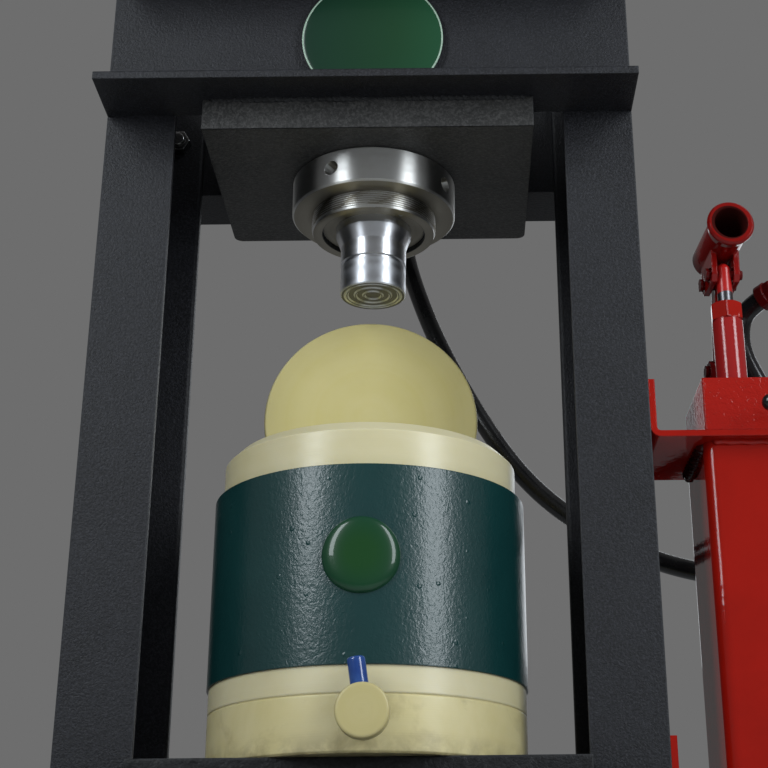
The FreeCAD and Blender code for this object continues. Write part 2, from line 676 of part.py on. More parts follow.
def ram():
    """The moving ram: piston and seal, rod, return spring round the rod, and the saddle at its foot."""
    piston, groove = "(cylinder_bore / 2 - piston_gap)", "(cylinder_bore / 2 - piston_gap - seal_depth)"
    rod, neck = "ram_diameter / 2", "ram_neck / 2"
    cone_top = f"({PLATE_LOW} - ram_below)"
    mid = f"({PISTON_LOW} + piston_height / 2)"
    node("piston", turned("piston_body", [
        ("spigot_diameter / 2", PISTON_LOW), (piston, PISTON_LOW), (piston, f"{mid} - seal_width / 2"),
        (groove, f"{mid} - seal_width / 2"), (groove, f"{mid} + seal_width / 2"),
        (piston, f"{mid} + seal_width / 2"), (piston, PISTON_TOP), ("spigot_diameter / 2", PISTON_TOP)]))
    node("piston_seal", turned("piston_seal_body", [
        (f"{groove} + fit_gap", f"{mid} - seal_width / 2 + seal_gap"),
        (piston, f"{mid} - seal_width / 2 + seal_gap"), (piston, f"{mid} + seal_width / 2 - seal_gap"),
        (f"{groove} + fit_gap", f"{mid} + seal_width / 2 - seal_gap")]))
    node("ram_rod", turned("ram_rod_body", [
        ("spigot_diameter / 2 + fit_gap", RAM_TIP), (f"{neck} - joint_groove_deep", RAM_TIP),
        (f"{neck} - joint_groove_deep", f"{RAM_TIP} + joint_groove_high"),
        (neck, f"{RAM_TIP} + joint_groove_high + small_chamfer"), (neck, f"{cone_top} - ram_cone"),
        (rod, cone_top), (rod, PISTON_LOW),
        ("spigot_diameter / 2 - fit_gap", PISTON_LOW), ("spigot_diameter / 2 - fit_gap", PISTON_TOP),
        ("0", PISTON_TOP), ("0", f"{RAM_TIP} + spigot_length + spigot_room"),
        ("spigot_diameter / 2 + fit_gap", f"{RAM_TIP} + spigot_length + spigot_room")]))
    face = f"({RAM_TIP} - saddle_height)"
    side = "saddle_diameter / 2"
    outline = [("0", f"{face} + saddle_groove")]
    for ring in (1, 2, 3):
        reach = f"saddle_ring * {ring}"
        outline += [(f"{reach} - ring_edge", f"{face} + saddle_groove"), (reach, face),
                    (f"{reach} + ring_edge", face), (f"{reach} + 2 * ring_edge", f"{face} + saddle_groove")]
    outline += [(f"{side} - 4 * ring_edge", f"{face} + saddle_groove"), (f"{side} - 3 * ring_edge", face),
                (f"{side} - small_chamfer", face), (side, f"{face} + small_chamfer"), (side, RAM_TIP),
                ("spigot_diameter / 2", RAM_TIP), ("spigot_diameter / 2", f"{RAM_TIP} + spigot_length"),
                ("0", f"{RAM_TIP} + spigot_length")]
    node("saddle", turned("saddle_body", outline))


def return_spring():
    """A die spring of square wire between the gland and the piston, its ends just clear of both."""
    low = mm.bed_height + mm.daylight - mm.neck_below + mm.gland_recess + mm.gland_height
    start = low + mm.spring_wire / 2 + mm.spring_gap
    rise = mm.spring_solid + mm.ram_stroke - mm.spring_wire - 2 * mm.spring_gap
    helix = Part.makeHelix(rise / mm.spring_turns, rise, mm.spring_diameter / 2)
    half, middle = mm.spring_wire / 2, Vector(mm.spring_diameter / 2, 0, 0)
    corners = [middle + Vector(across * half, 0, up * half)
               for across, up in ((-1, -1), (1, -1), (1, 1), (-1, 1))]
    coil = Part.Wire(helix).makePipeShell([Part.makePolygon([*corners, corners[0]])], True, True)
    spring = doc.addObject("Part::Feature", "return_spring_coil")
    spring.Shape = coil
    spring.Placement = Placement(Vector(0, 0, start), Rotation())
    node("return_spring", spring)


def vessel():
    """Oil vessel: a tray with the tap, a plastic barrel in a steel sleeve, and the filter grid."""
    tray = "tray_diameter / 2"
    floor = "(bed_height + tray_floor)"
    ledge = f"({TRAY_TOP} - grid_thick - grid_gap)"
    well = "(tray_bore / 2 - tray_ledge)"
    blank = turned("tray_blank", [
        ("0", "bed_height"), (f"{tray} - tray_chamfer", "bed_height"), (tray, "bed_height + tray_chamfer"),
        (tray, f"{TRAY_TOP} - small_chamfer"), (f"{tray} - small_chamfer", TRAY_TOP), ("tray_bore / 2", TRAY_TOP),
        ("tray_bore / 2", ledge), (well, ledge), (well, floor), ("0", floor)])
    hole = cylinder("tray_tap_hole", "tap_shank / 2 + tap_gap", f"{tray} - {well} + 4 * {PAST}",
                    ("tap_across", f"{TRAY_FRONT} - {PAST}", "bed_height + tap_height"), "+y")
    node("oil_tray", cut("oil_tray_cut", blank, hole))

    node("press_barrel", turned("press_barrel_body", [
        (BORE, TRAY_TOP), (f"{tray} - small_chamfer", TRAY_TOP), (tray, f"{TRAY_TOP} + small_chamfer"),
        (tray, SLEEVE_LOW), (BARREL, SLEEVE_LOW), (BARREL, f"{RIM} - rim_chamfer"),
        (f"{BARREL} - rim_chamfer", RIM), (f"{BORE} + bore_chamfer", RIM), (BORE, f"{RIM} - bore_chamfer")]))
    inside = "sleeve_diameter / 2 - sleeve_wall"
    node("steel_sleeve", turned("steel_sleeve_body", [
        (inside, SLEEVE_LOW), ("sleeve_diameter / 2", SLEEVE_LOW),
        ("sleeve_diameter / 2", f"{SLEEVE_LOW} + sleeve_height"), (inside, f"{SLEEVE_LOW} + sleeve_height")]))

    # The domed badge follows the sleeve's curve.
    shell = cut("badge_shell",
                cylinder("badge_outer", "sleeve_diameter / 2 + badge_thick", f"badge_diameter + 2 * {PAST}",
                         ("0", "0", f"bed_height + badge_height - badge_diameter / 2 - {PAST}")),
                cylinder("badge_inner", "sleeve_diameter / 2", f"badge_diameter + 4 * {PAST}",
                         ("0", "0", f"bed_height + badge_height - badge_diameter / 2 - 2 * {PAST}")))
    stamp = cylinder("badge_round", "badge_diameter / 2", "sleeve_diameter",
                     ("badge_across", "0", "bed_height + badge_height"), "-y")
    node("sleeve_badge", common("sleeve_badge_cut", shell, stamp))

    grid = cylinder("grid_blank", "tray_bore / 2 - grid_gap", "grid_thick", ("0", "0", ledge))
    holes = []
    for ring, count in enumerate((6, 12), 1):
        for i in range(count):
            angle = math.tau * i / count
            holes.append(cylinder(f"grid_hole_{ring}_{i}", "grid_hole / 2", f"grid_thick + 2 * {PAST}",
                                  (f"grid_pitch * {ring * math.cos(angle)}",
                                   f"grid_pitch * {ring * math.sin(angle)}", f"{ledge} - {PAST}")))
    node("filter_grid", cut("filter_grid_cut", grid, *holes))


def pressing_disc():
    """The loose plastic disc that stands in the barrel's mouth, resting on two points of the rim."""
    bore = mm.sleeve_diameter / 2 - mm.sleeve_wall - mm.sleeve_gap - mm.barrel_wall
    radius = bore - mm.disc_gap
    rim = mm.bed_height + mm.tray_height + mm.barrel_height
    # Where the disc's rear face crosses the bore, half the chord on which it rests
    back = mm.disc_back + mm.disc_thick / 2
    chord = math.sqrt(bore ** 2 - back ** 2)
    rise = math.sqrt(radius ** 2 - chord ** 2)
    blank = doc.addObject("Part::Cylinder", "pressing_disc_blank")
    bind(blank, Radius=f"{BORE} - disc_gap", Height="disc_thick")
    facing = Rotation(Z, mm.disc_yaw)
    place = Vector(0, mm.disc_back - mm.disc_thick / 2, rim + rise - mm.disc_seat)
    blank.Placement = Placement(facing.multVec(place), facing * TURN["+y"])
    doc.recompute()
    disc = doc.addObject("Part::Fillet", "pressing_disc_round")
    disc.Base = blank
    rims = [i for i, edge in enumerate(blank.Shape.Edges, 1) if edge.Closed]
    disc.Edges = [(i, mm.disc_fillet, mm.disc_fillet) for i in rims]
    node("pressing_disc", disc)


def drain_tap():
    """Drain tap: a plastic plug with a round head, and the blue lever that turns with it."""
    height = "bed_height + tap_height"
    back = f"({TAP_FRONT} + tap_head)"
    head = cylinder("tap_head_disc", "tap_diameter / 2", "tap_head", ("tap_across", TAP_FRONT, height), "+y")
    shank = cylinder("tap_shank_bar", "tap_shank / 2", f"-{back} - tray_bore / 2 + tray_ledge - tap_room",
                     ("tap_across", back, height), "+y")
    node("drain_plug", fuse("drain_plug_all", head, shank))
    hub = cylinder("lever_hub_disc", "lever_hub / 2", "lever_thick",
                   ("tap_across", f"{back} + tap_gap", height), "+y")
    arm = doc.addObject("Part::Cylinder", "lever_arm")
    bind(arm, Radius="lever_diameter / 2", Height="lever_length")
    arm.Placement = Placement(Vector(), Rotation(Y, -mm.lever_tilt))
    arm.setExpression("Placement.Base.x", bound("tap_across"))
    arm.setExpression("Placement.Base.y", bound(f"{back} + tap_gap + lever_thick / 2"))
    arm.setExpression("Placement.Base.z", bound(height))
    hole = cylinder("lever_hole", "tap_shank / 2 + pin_gap", f"lever_thick + 2 * {PAST}",
                    ("tap_across", f"{back} + tap_gap - {PAST}", height), "+y")
    node("drain_lever", cut("drain_lever_cut", fuse("drain_lever_all", hub, arm), hole))


def brackets():
    """Two bent brackets that carry the tank and the pump block on the right column."""
    web = COLUMN_SIDE
    for name, low, reach in (("upper_bracket", BRACKET, "bracket_reach"),
                             ("lower_bracket", f"({BRACKET} - tank_height - bracket_thick)",
                              "bracket_reach - low_bracket_short")):
        outline = [(web, low), (f"{web} + {reach}", low), (f"{web} + {reach}", f"{low} + bracket_thick"),
                   (f"{web} + bracket_thick", f"{low} + bracket_thick"),
                   (f"{web} + bracket_thick", f"{low} + bracket_leg"), (web, f"{low} + bracket_leg")]
        body = extrude(name + "_blank", "XZ_Plane", outline, f"-{COLUMN_FRONT} - bracket_depth",
                       "bracket_depth")
        rounded(body, "bracket_radius", Y,
                lambda point, box_: abs(point.x - box_.XMin) < TOUCH and abs(point.z - box_.ZMin) < TOUCH)
        rounded(body, "bracket_radius - bracket_thick", Y,
                lambda point, box_: box_.XMin + TOUCH < point.x < box_.XMax - TOUCH
                and box_.ZMin + TOUCH < point.z < box_.ZMax - TOUCH)
        picks = (0, 1) if name == "upper_bracket" else (2, 3)
        holes = bracket_holes(name, f"{web} - {PAST}", f"bracket_thick + 2 * {PAST}", picks)
        if name == "upper_bracket":
            holes.append(cylinder("upper_bracket_suction_hole", "suction_hole / 2", f"bracket_thick + 2 * {PAST}",
                                  (PUMP_ACROSS, PUMP_DEPTH, f"{BRACKET} - {PAST}")))
        node(name, cut(name + "_cut", body, *holes))
    bolts = []
    for i, (depth, height) in enumerate(bracket_places()):
        head = hexagon(f"bracket_bolt_head_{i}", "bolt_head", "bolt_head_high",
                       (f"{web} - web_thick", depth, height), "-x")
        shank = cylinder(f"bracket_bolt_shank_{i}", "bolt_diameter / 2", "web_thick + bracket_thick",
                         (f"{web} - web_thick", depth, height), "+x")
        bolts.append(fuse(f"bracket_bolt_{i}", head, shank))
    node("bracket_bolts", fuse("bracket_bolts_all", *bolts))


def tank():
    """The welded oil tank under the upper bracket, with its filler plug and the suction tube inside."""
    left, right = f"({COLUMN_SIDE} + tank_out)", f"({COLUMN_SIDE} + tank_out + tank_width)"
    front, back = f"({COLUMN_FRONT} + tank_back)", f"({COLUMN_FRONT} + tank_back + tank_depth)"
    outer = extrude("tank_outer", "XY_Plane", [(left, front), (right, front), (right, back), (left, back)],
                    f"{BRACKET} - tank_height", "tank_height")
    rounded(outer, "tank_radius", Z, lambda point, box_: True)
    inner = extrude("tank_inner", "XY_Plane",
                    [(f"{left} + tank_wall", f"{front} + tank_wall"),
                     (f"{right} - tank_wall", f"{front} + tank_wall"),
                     (f"{right} - tank_wall", f"{back} - tank_wall"),
                     (f"{left} + tank_wall", f"{back} - tank_wall")],
                    f"{BRACKET} - tank_height + tank_wall", "tank_height - 2 * tank_wall")
    rounded(inner, "tank_radius - tank_wall", Z, lambda point, box_: True)
    suction = cylinder("tank_suction_hole", "suction_hole / 2", f"tank_wall + 2 * {PAST}",
                       (PUMP_ACROSS, PUMP_DEPTH, f"{BRACKET} - tank_wall - {PAST}"))
    depth, height = f"({front} + tank_depth / 2)", f"({BRACKET} - filler_drop)"
    filler = cylinder("tank_filler_hole", "filler_hole / 2", f"tank_wall + 2 * {PAST}",
                      (f"{right} - tank_wall - {PAST}", depth, height), "+x")
    node("oil_tank", cut("oil_tank_cut", outer, inner, suction, filler))
    node("filler_plug", fuse("filler_plug_all",
                             hexagon("filler_plug_head", "filler_hex", "filler_head",
                                     (right, depth, height), "+x"),
                             cylinder("filler_plug_stem", "filler_hole / 2 - fit_gap", "tank_wall + filler_stem",
                                      (f"{right} - tank_wall - filler_stem", depth, height), "+x")))
    length = "(tank_height - suction_short)"
    node("suction_tube", cut("suction_tube_all",
                             cylinder("suction_tube_outer", "suction_tube / 2", length,
                                      (PUMP_ACROSS, PUMP_DEPTH, f"{BLOCK_LOW} - {length}")),
                             cylinder("suction_tube_bore", "suction_bore / 2", f"{length} + 2 * {PAST}",
                                      (PUMP_ACROSS, PUMP_DEPTH, f"{BLOCK_LOW} - {length} - {PAST}"))))


def pump_block():
    """The steel block with the pump's passages, the pump cylinder and the check balls."""
    corner = (f"{COLUMN_SIDE} + block_out", COLUMN_FRONT, BLOCK_LOW)
    blank = extrude("pump_block_blank", "XY_Plane", [
        (corner[0], corner[1]), (f"{corner[0]} + block_width", corner[1]),
        (f"{corner[0]} + block_width", f"{corner[1]} + block_depth"), (corner[0], f"{corner[1]} + block_depth")],
        BLOCK_LOW, "block_height")
    rounded(blank, "block_round", Z, lambda point, box_: True)
    spigot_low = f"({BLOCK_TOP} - pump_spigot)"
    bores = [cylinder("block_pump_bore", "pump_spigot / 2 + fit_gap", f"pump_spigot + 2 * {PAST}",
                      (PUMP_ACROSS, PUMP_DEPTH, spigot_low)),
             cylinder("block_suction", "suction_bore / 2", "block_height",
                      (PUMP_ACROSS, PUMP_DEPTH, f"{BLOCK_LOW} - {PAST}")),
             cylinder("block_ball_pocket", "ball_pocket / 2", f"pocket_deep + {PAST}",
                      (PUMP_ACROSS, PUMP_DEPTH, f"{spigot_low} - pocket_deep")),
             cylinder("block_riser_bore", "riser_diameter / 2", f"riser_bore_deep + 2 * {PAST}",
                      (RISER[0], RISER[1], f"{BLOCK_TOP} - riser_bore_deep")),
             cylinder("block_cross", "cross_bore / 2", "riser_out - pump_out",
                      (PUMP_ACROSS, PUMP_DEPTH, f"{spigot_low} - {PAST}"), "+x"),
             cylinder("block_valve_bore", "valve_bore / 2", f"valve_bore_deep + {PAST}",
                      (VALVE[0], f"{COLUMN_FRONT} - {PAST}", VALVE[2]), "+y")]
    for i, rise in enumerate(("side_hole_low", "side_hole_high")):
        bores.append(cylinder(f"block_side_hole_{i}", "side_hole / 2", f"side_hole_deep + {PAST}",
                              (f"{corner[0]} - {PAST}", f"{corner[1]} + block_depth - side_hole_back",
                               f"{BLOCK_LOW} + {rise}"), "+x"))
    node("pump_block", cut("pump_block_cut", blank, *bores))

    radius, bore = "pump_diameter / 2", "plunger_diameter / 2 + plunger_gap"
    barrel = turned("pump_cylinder_body", [
        (bore, spigot_low), ("pump_spigot / 2", spigot_low), ("pump_spigot / 2", BLOCK_TOP),
        (f"{radius} - pump_relief", BLOCK_TOP), (f"{radius} - pump_relief", f"{BLOCK_TOP} + pump_relief_high"),
        (radius, f"{BLOCK_TOP} + pump_relief_high + small_chamfer"),
        (radius, f"{BLOCK_TOP} + pump_height + small_chamfer"),
        (bore, f"{BLOCK_TOP} + pump_height + small_chamfer")])
    put(barrel, (PUMP_ACROSS, PUMP_DEPTH, "0"))
    node("pump_cylinder", barrel)
    nut = hexagon("pump_nut_blank", "pump_hex", "pump_hex_high - small_chamfer",
                  (PUMP_ACROSS, PUMP_DEPTH, f"{BLOCK_TOP} + pump_height + small_chamfer"), "+z", NUT_TURN)
    bevel = turned("pump_nut_bevel", [
        (bore, f"{BLOCK_TOP} + pump_height"), (f"{radius} + nut_corner", f"{BLOCK_TOP} + pump_height"),
        (f"{radius} + nut_corner", f"{HEX_TOP} - nut_bevel"), (f"{radius} - nut_face", HEX_TOP), (bore, HEX_TOP)])
    put(bevel, (PUMP_ACROSS, PUMP_DEPTH, "0"))
    node("pump_gland_nut", common("pump_nut_cut", nut, bevel))
    # Each ball rests on the floor of its pocket.
    balls = [sphere("suction_ball", "ball_diameter / 2",
                    (PUMP_ACROSS, PUMP_DEPTH, f"{spigot_low} - pocket_deep + ball_diameter / 2 + ball_lift")),
             sphere("outlet_ball", "ball_diameter / 2",
                    (RISER[0], RISER[1], f"{BLOCK_TOP} - riser_bore_deep + ball_diameter / 2 + ball_lift"))]
    node("check_balls", fuse("check_balls_all", *balls))


def release_valve():
    """The release valve: gland nut on the block's front, spindle, cross bar and its two round tips."""
    across, front, height = VALVE
    nut = cut("valve_nut_cut",
              hexagon("valve_nut_blank", "valve_hex", "valve_hex_high", (across, front, height), "-y"),
              cylinder("valve_nut_hole", "valve_stem / 2 + valve_nut_gap", f"valve_hex_high + 2 * {PAST}",
                       (across, f"{front} + {PAST}", height), "-y"))
    node("valve_nut", nut)
    spindle = fuse("valve_spindle_all",
                   cylinder("valve_stem_bar", "valve_stem / 2", "valve_ahead + valve_stem_past + valve_stem_deep",
                            (across, f"{front} + valve_stem_deep", height), "-y"),
                   cylinder("valve_cross_bar", "valve_rod / 2", "valve_bar",
                            (f"{across} - valve_bar / 2", f"{front} - valve_ahead", height), "+x"))
    node("valve_spindle", spindle)
    tips = [cut(f"valve_tip_{i}", sphere(f"valve_tip_ball_{i}", "valve_tip / 2",
                                         (f"{across} + {side} * valve_bar / 2", f"{front} - valve_ahead", height)),
                cylinder(f"valve_tip_hole_{i}", "valve_rod / 2 + valve_gap", "valve_bar + 2 * valve_gap",
                         (f"{across} - valve_bar / 2 - valve_gap", f"{front} - valve_ahead", height), "+x"))
            for i, side in enumerate((-1, 1))]
    node("valve_tips", fuse("valve_tips_all", *tips))


def on_head(name, thing, back="0", lean=0.0):
    """Carry a piece of the pump's head from the plunger's own frame to its place on the block.

    A piece whose own origin lies behind the plunger pin, or that leans about it, says so."""
    yaw = math.radians(mm.pump_yaw)
    thing.Placement = Placement(Vector(), Rotation(Z, mm.pump_yaw) * Rotation(X, lean))
    place = (f"{PUMP_ACROSS} - {back} * {math.sin(yaw)}", f"{PUMP_DEPTH} + {back} * {math.cos(yaw)}", PIN_HEIGHT)
    for axis, text in zip("xyz", place):
        thing.setExpression(f"Placement.Base.{axis}", bound(text))
    return node(name, thing)


def pin_with_heads(name, at):
    """A cross pin with a flat head at one end and a washer head at the other."""
    return fuse(name, cylinder(name + "_shank", "pin_diameter / 2", "pin_length", ("-pin_length / 2", *at), "+x"),
                cylinder(name + "_head", "pin_head / 2", "pin_head_thick", ("-pin_length / 2", *at), "+x"),
                cylinder(name + "_clip", "pin_head / 2 - small_chamfer", "pin_clip_thick",
                         ("pin_length / 2 - pin_past_clip - pin_clip_thick", *at), "+x"))


def pump_head():
    """Plunger, socket with its two ears, link and lug. Its frame has the plunger pin at the origin."""
    hole = "pin_diameter / 2 + pin_gap"
    crown = "(eye_height / 2 - plunger_diameter / 2 - eye_crown)"
    shaft = fuse("plunger_shaft",
                 cylinder("plunger_bar", "plunger_diameter / 2", "plunger_reach", ("0", "0", "-plunger_reach")),
                 sphere("plunger_crown", "plunger_diameter / 2", ("0", "0", crown)))
    bar = fuse("plunger_all", shaft, cylinder("plunger_neck", "plunger_diameter / 2", crown, ("0", "0", "0")))
    on_head("plunger", cut("plunger_cut", bar, cylinder("plunger_hole", hole, f"plunger_diameter + 2 * {PAST}",
                                                         (f"-plunger_diameter / 2 - {PAST}", "0", "0"), "+x")))
    on_head("plunger_pin", pin_with_heads("plunger_pin_all", ("0", "0")))

    inner, outer = "(plunger_diameter / 2 + ear_gap)", "(plunger_diameter / 2 + ear_gap + ear_thick)"
    tube = turned("socket_tube_body", [
        ("socket_bore / 2", "0"), ("socket_diameter / 2", "0"),
        ("socket_diameter / 2", "socket_length - flare_start"),
        ("socket_rim / 2 - small_chamfer", "socket_length - flare_end"),
        ("socket_rim / 2", "socket_length - 2 * rim_land"), ("socket_rim / 2", "socket_length - rim_land"),
        ("socket_rim / 2 - rim_round", "socket_length"), ("socket_bore / 2 + mouth_chamfer", "socket_length"),
        ("socket_bore / 2", "socket_length - mouth_chamfer")])
    put(tube, ("0", "socket_behind", "socket_rise"), "-y")
    side = [("-ear_front_high", "socket_rise - ear_root"), ("-ear_front", "-ear_corner"),
            ("-ear_front_low", "-ear_drop"), ("link_arm + ear_corner", "-ear_drop"),
            ("link_arm + ear_back - ear_lean", "-ear_step"), ("link_arm + ear_back", "ear_step"),
            ("link_arm + ear_back_high", "socket_rise - ear_root")]
    ears = []
    for i, start in enumerate((f"-{outer}", inner)):
        ear = extrude(f"socket_ear_{i}", "YZ_Plane", side, start, "ear_thick")
        near, deep = f"{start} - {PAST}", f"ear_thick + 2 * {PAST}"
        slot = [cylinder(f"ear_slot_{i}_{j}", "pin_diameter / 2 + slot_room", deep, (near, y_at, "0"), "+x")
                for j, y_at in enumerate(("0", "-slot_length"))]
        slot.append(box(f"ear_slot_{i}_middle", (deep, "slot_length", "pin_diameter + 2 * slot_room"),
                        (near, "-slot_length", "-pin_diameter / 2 - slot_room")))
        slot.append(cylinder(f"ear_pin_hole_{i}", hole, deep, (near, "link_arm", "0"), "+x"))
        slot.append(cylinder(f"ear_tube_room_{i}", "socket_diameter / 2 - socket_bite",
                             f"socket_length + 2 * {PAST}", ("0", f"socket_behind + {PAST}", "socket_rise"), "-y"))
        ears.append(cut(f"socket_ear_cut_{i}", ear, *slot))
    on_head("handle_socket", fuse("handle_socket_all", tube, *ears))
    on_head("link_pin", pin_with_heads("link_pin_all", ("link_arm", "0")))

    drop = f"({PIN_HEIGHT} - {BLOCK_TOP} - lug_height)"
    reach = mm.lug_back - mm.link_arm
    fall = mm.pump_height + mm.pump_hex_high + mm.plunger_rise - mm.lug_height
    lean, length = math.degrees(math.atan2(reach, fall)), math.hypot(reach, fall)
    bar = box("link_bar", ("link_width", "2 * link_side", str(length)),
              ("-link_width / 2", "-link_side", f"-{length}"))
    link = fuse("link_all", bar,
                cylinder("link_top_end", "link_side", "link_width", ("-link_width / 2", "0", "0"), "+x"),
                cylinder("link_low_end", "link_side", "link_width", ("-link_width / 2", "0", f"-{length}"), "+x"))
    bores = [cylinder(f"link_hole_{i}", hole, f"link_width + 2 * {PAST}",
                      (f"-link_width / 2 - {PAST}", "0", f"-{length} * {i}"), "+x") for i in (0, 1)]
    on_head("pump_link", cut("link_cut", link, *bores), "link_arm", lean)

    lugs = []
    for i, start in enumerate(("-link_width / 2 - lug_gap - lug_thick", "link_width / 2 + lug_gap")):
        plate = extrude(f"lug_plate_{i}", "YZ_Plane", [
            ("lug_back - lug_side", f"-{drop} - lug_height"), ("lug_back + lug_side", f"-{drop} - lug_height"),
            ("lug_back + lug_side", f"-{drop} + lug_shoulder"), ("lug_back + lug_top", f"-{drop} + lug_crown"),
            ("lug_back - lug_top", f"-{drop} + lug_crown"), ("lug_back - lug_side", f"-{drop} + lug_shoulder")],
            start, "lug_thick")
        bore = cylinder(f"lug_hole_{i}", hole, f"lug_thick + 2 * {PAST}",
                        (f"{start} - {PAST}", "lug_back", f"-{drop}"), "+x")
        lugs.append(cut(f"lug_cut_{i}", plate, bore))
    on_head("block_lug", fuse("block_lug_all", *lugs))
    place = ("-link_width / 2 - lug_gap - lug_thick - lug_pin_past", "lug_back", f"-{drop}")
    on_head("lug_pin", fuse("lug_pin_all",
                            cylinder("lug_pin_shank", "pin_diameter / 2",
                                     "link_width + 2 * lug_gap + 2 * lug_thick + lug_pin_past", place, "+x"),
                            cylinder("lug_pin_head", "pin_head / 2", "lug_pin_head", place, "+x")))


# The hose's route from the cylinder's cap to the pump's riser, chosen point by point
HOSE_ROUTE = [
    (0, 124, 1511), (0, 168, 1511), (4, 211, 1490), (7, 238, 1452), (10, 247, 1402), (13, 240, 1345),
    (16, 226, 1292), (22, 214, 1243), (34, 210, 1200), (52, 206, 1150), (75, 201, 1100), (101, 195, 1050),
    (128, 189, 1007), (158, 182, 972), (192, 174, 944), (228, 165, 920), (264, 151, 901), (300, 132, 887),
    (335, 107, 884), (360, 80, 902), (367, 60, 941), (359, 49, 985), (342, 46, 1026), (324.5, 45.5, 1064),
    (323.18, 39.73, 1088.73), (329.63, 31.24, 1101.97), (340.9, 19.2, 1106.1),
]


def hose_path():
    """Straight runs joined by arcs as large as the runs allow; prints the radii."""
    points = [Vector(*place) for place in HOSE_ROUTE]
    edges, radii, start = [], [], points[0]
    for before, corner, after in zip(points, points[1:], points[2:]):
        way_in, way_out = (corner - before).normalize(), (after - corner).normalize()
        turn = way_in.getAngle(way_out)
        run = min((corner - before).Length, (after - corner).Length)
        cut_back = 0.45 * run
        radii.append(cut_back / math.tan(turn / 2))
        first, last = corner - way_in * cut_back, corner + way_out * cut_back
        inward = (way_out - way_in).normalize()
        middle = corner + inward * (radii[-1] / math.cos(turn / 2) - radii[-1])
        edges += [Part.LineSegment(start, first).toShape(), Part.Arc(first, middle, last).toShape()]
        start = last
    edges.append(Part.LineSegment(start, points[-1]).toShape())
    print("hose radii", [round(radius) for radius in radii])
    print("hose runs", [round((b - a).Length) for a, b in zip(points, points[1:])])
    return Part.Wire(edges)


def hose():
    """The high-pressure hose: one plain tube along its route, and the fittings at its two ends."""
    path = hose_path()
    first, second = Vector(*HOSE_ROUTE[0]), Vector(*HOSE_ROUTE[1])
    section = Part.Wire(Part.Circle(first, second - first, mm.hose_diameter / 2).toShape())
    tube = path.makePipeShell([section], True, False)
    print("hose length", round(path.Length, 1), "volume ratio",
          round(tube.Volume / (math.pi * mm.hose_diameter ** 2 / 4 * path.Length), 4))
    feature = doc.addObject("Part::Feature", "ram_hose_tube")
    feature.Shape = tube
    node("ram_hose", feature)

    cap_face, port_height = "(cylinder_diameter / 2)", f"({CAP_LOW} + cap_height / 2)"
    hose_start = str(HOSE_ROUTE[0][1])
    stem = f"({hose_start} - {cap_face})"
    fitting = fuse("cap_fitting_all",
                   hexagon("cap_fitting_hex", "port_hex", f"{stem} - ferrule_length",
                           ("0", cap_face, port_height), "+y"),
                   cylinder("cap_fitting_ferrule", "ferrule_diameter / 2", "ferrule_length",
                            ("0", f"{hose_start} - ferrule_length", port_height), "+y"),
                   cylinder("cap_fitting_thread", "port_bore / 2 - fit_gap", "port_thread",
                            ("0", f"{cap_face} - port_thread", port_height), "+y"))
    node("cap_fitting", fitting)

    # The riser comes up from the block, turns at its knee and meets the hose's end fitting.
    end = Vector(*HOSE_ROUTE[-1])
    knee = Vector(mm.opening / 2 + mm.flange_width + mm.riser_out,
                  -mm.section_depth / 2 - mm.ram_offset + mm.riser_back, mm.bed_height + mm.riser_height)
    way = (knee - end).normalize()
    facing = Rotation(Z, way)
    ferrule = doc.addObject("Part::Cylinder", "end_ferrule_ring")
    bind(ferrule, Radius="ferrule_diameter / 2", Height="end_ferrule")
    ferrule.Placement = Placement(end, facing)
    nut = doc.addObject("Part::Prism", "swivel_nut_bar")
    nut.Polygon = 6
    bind(nut, Circumradius=f"swivel_hex / {math.sqrt(3)}", Height="swivel_nut")
    nut.Placement = Placement(end + way * mm.end_ferrule, facing)
    node("hose_end_fitting", fuse("hose_end_fitting_all", ferrule, nut))
    spout_start = end + way * (mm.end_ferrule + mm.swivel_nut)
    spout = doc.addObject("Part::Cylinder", "riser_spout")
    bind(spout, Radius="riser_diameter / 2", Height=str((knee - spout_start).Length))
    spout.Placement = Placement(spout_start, facing)
    knee_place = (RISER[0], RISER[1], "bed_height + riser_height")
    pipe_length = f"bed_height + riser_height - {BLOCK_TOP}"
    node("outlet_riser", fuse("outlet_riser_all", spout, sphere("riser_knee", "riser_diameter / 2", knee_place),
                              cylinder("riser_pipe", "riser_diameter / 2", pipe_length, (*RISER, BLOCK_TOP)),
                              hexagon("riser_foot", "swivel_hex", "riser_diameter", (*RISER, BLOCK_TOP))))
    print("hose end to knee", way, (knee - end).Length)


def finish():
    """Check every object and write each piece to its own file."""
    doc.recompute()
    for thing in doc.Objects:
        if "Invalid" in thing.State or "Error" in thing.State:
            raise RuntimeError(f"{thing.Label}: {thing.State}")
    os.makedirs("parts", exist_ok=True)
    for thing in nodes:
        if thing.Shape.isNull() or not thing.Shape.isValid() or not thing.Shape.Solids:
            raise RuntimeError(f"{thing.Label} has no valid solid")
        thing.Shape.exportStep(f"parts/{thing.Label}.step")
    print(len(nodes), "pieces,", sum(len(thing.Shape.Solids) for thing in nodes), "solids")


columns()
beams()
plates()
feet()
beam_bolts()
emblem()
hydraulic_cylinder()
ram()
return_spring()
vessel()
pressing_disc()
drain_tap()
brackets()
tank()
pump_block()
release_valve()
pump_head()
hose()
finish()
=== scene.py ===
# %% [markdown]
# # A hydraulic oil press
# The press is a welded and bolted stand of rolled channels, with a ram in its crossbeam, a pressing vessel
# on its bed and a hand pump at its side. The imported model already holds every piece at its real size, so
# this lesson dresses it: each cell explains one piece or one finish, and then makes it.

# %% Load the frame
import json
import math

import bmesh
import bpy
import numpy as np
from mathutils import Matrix, Vector


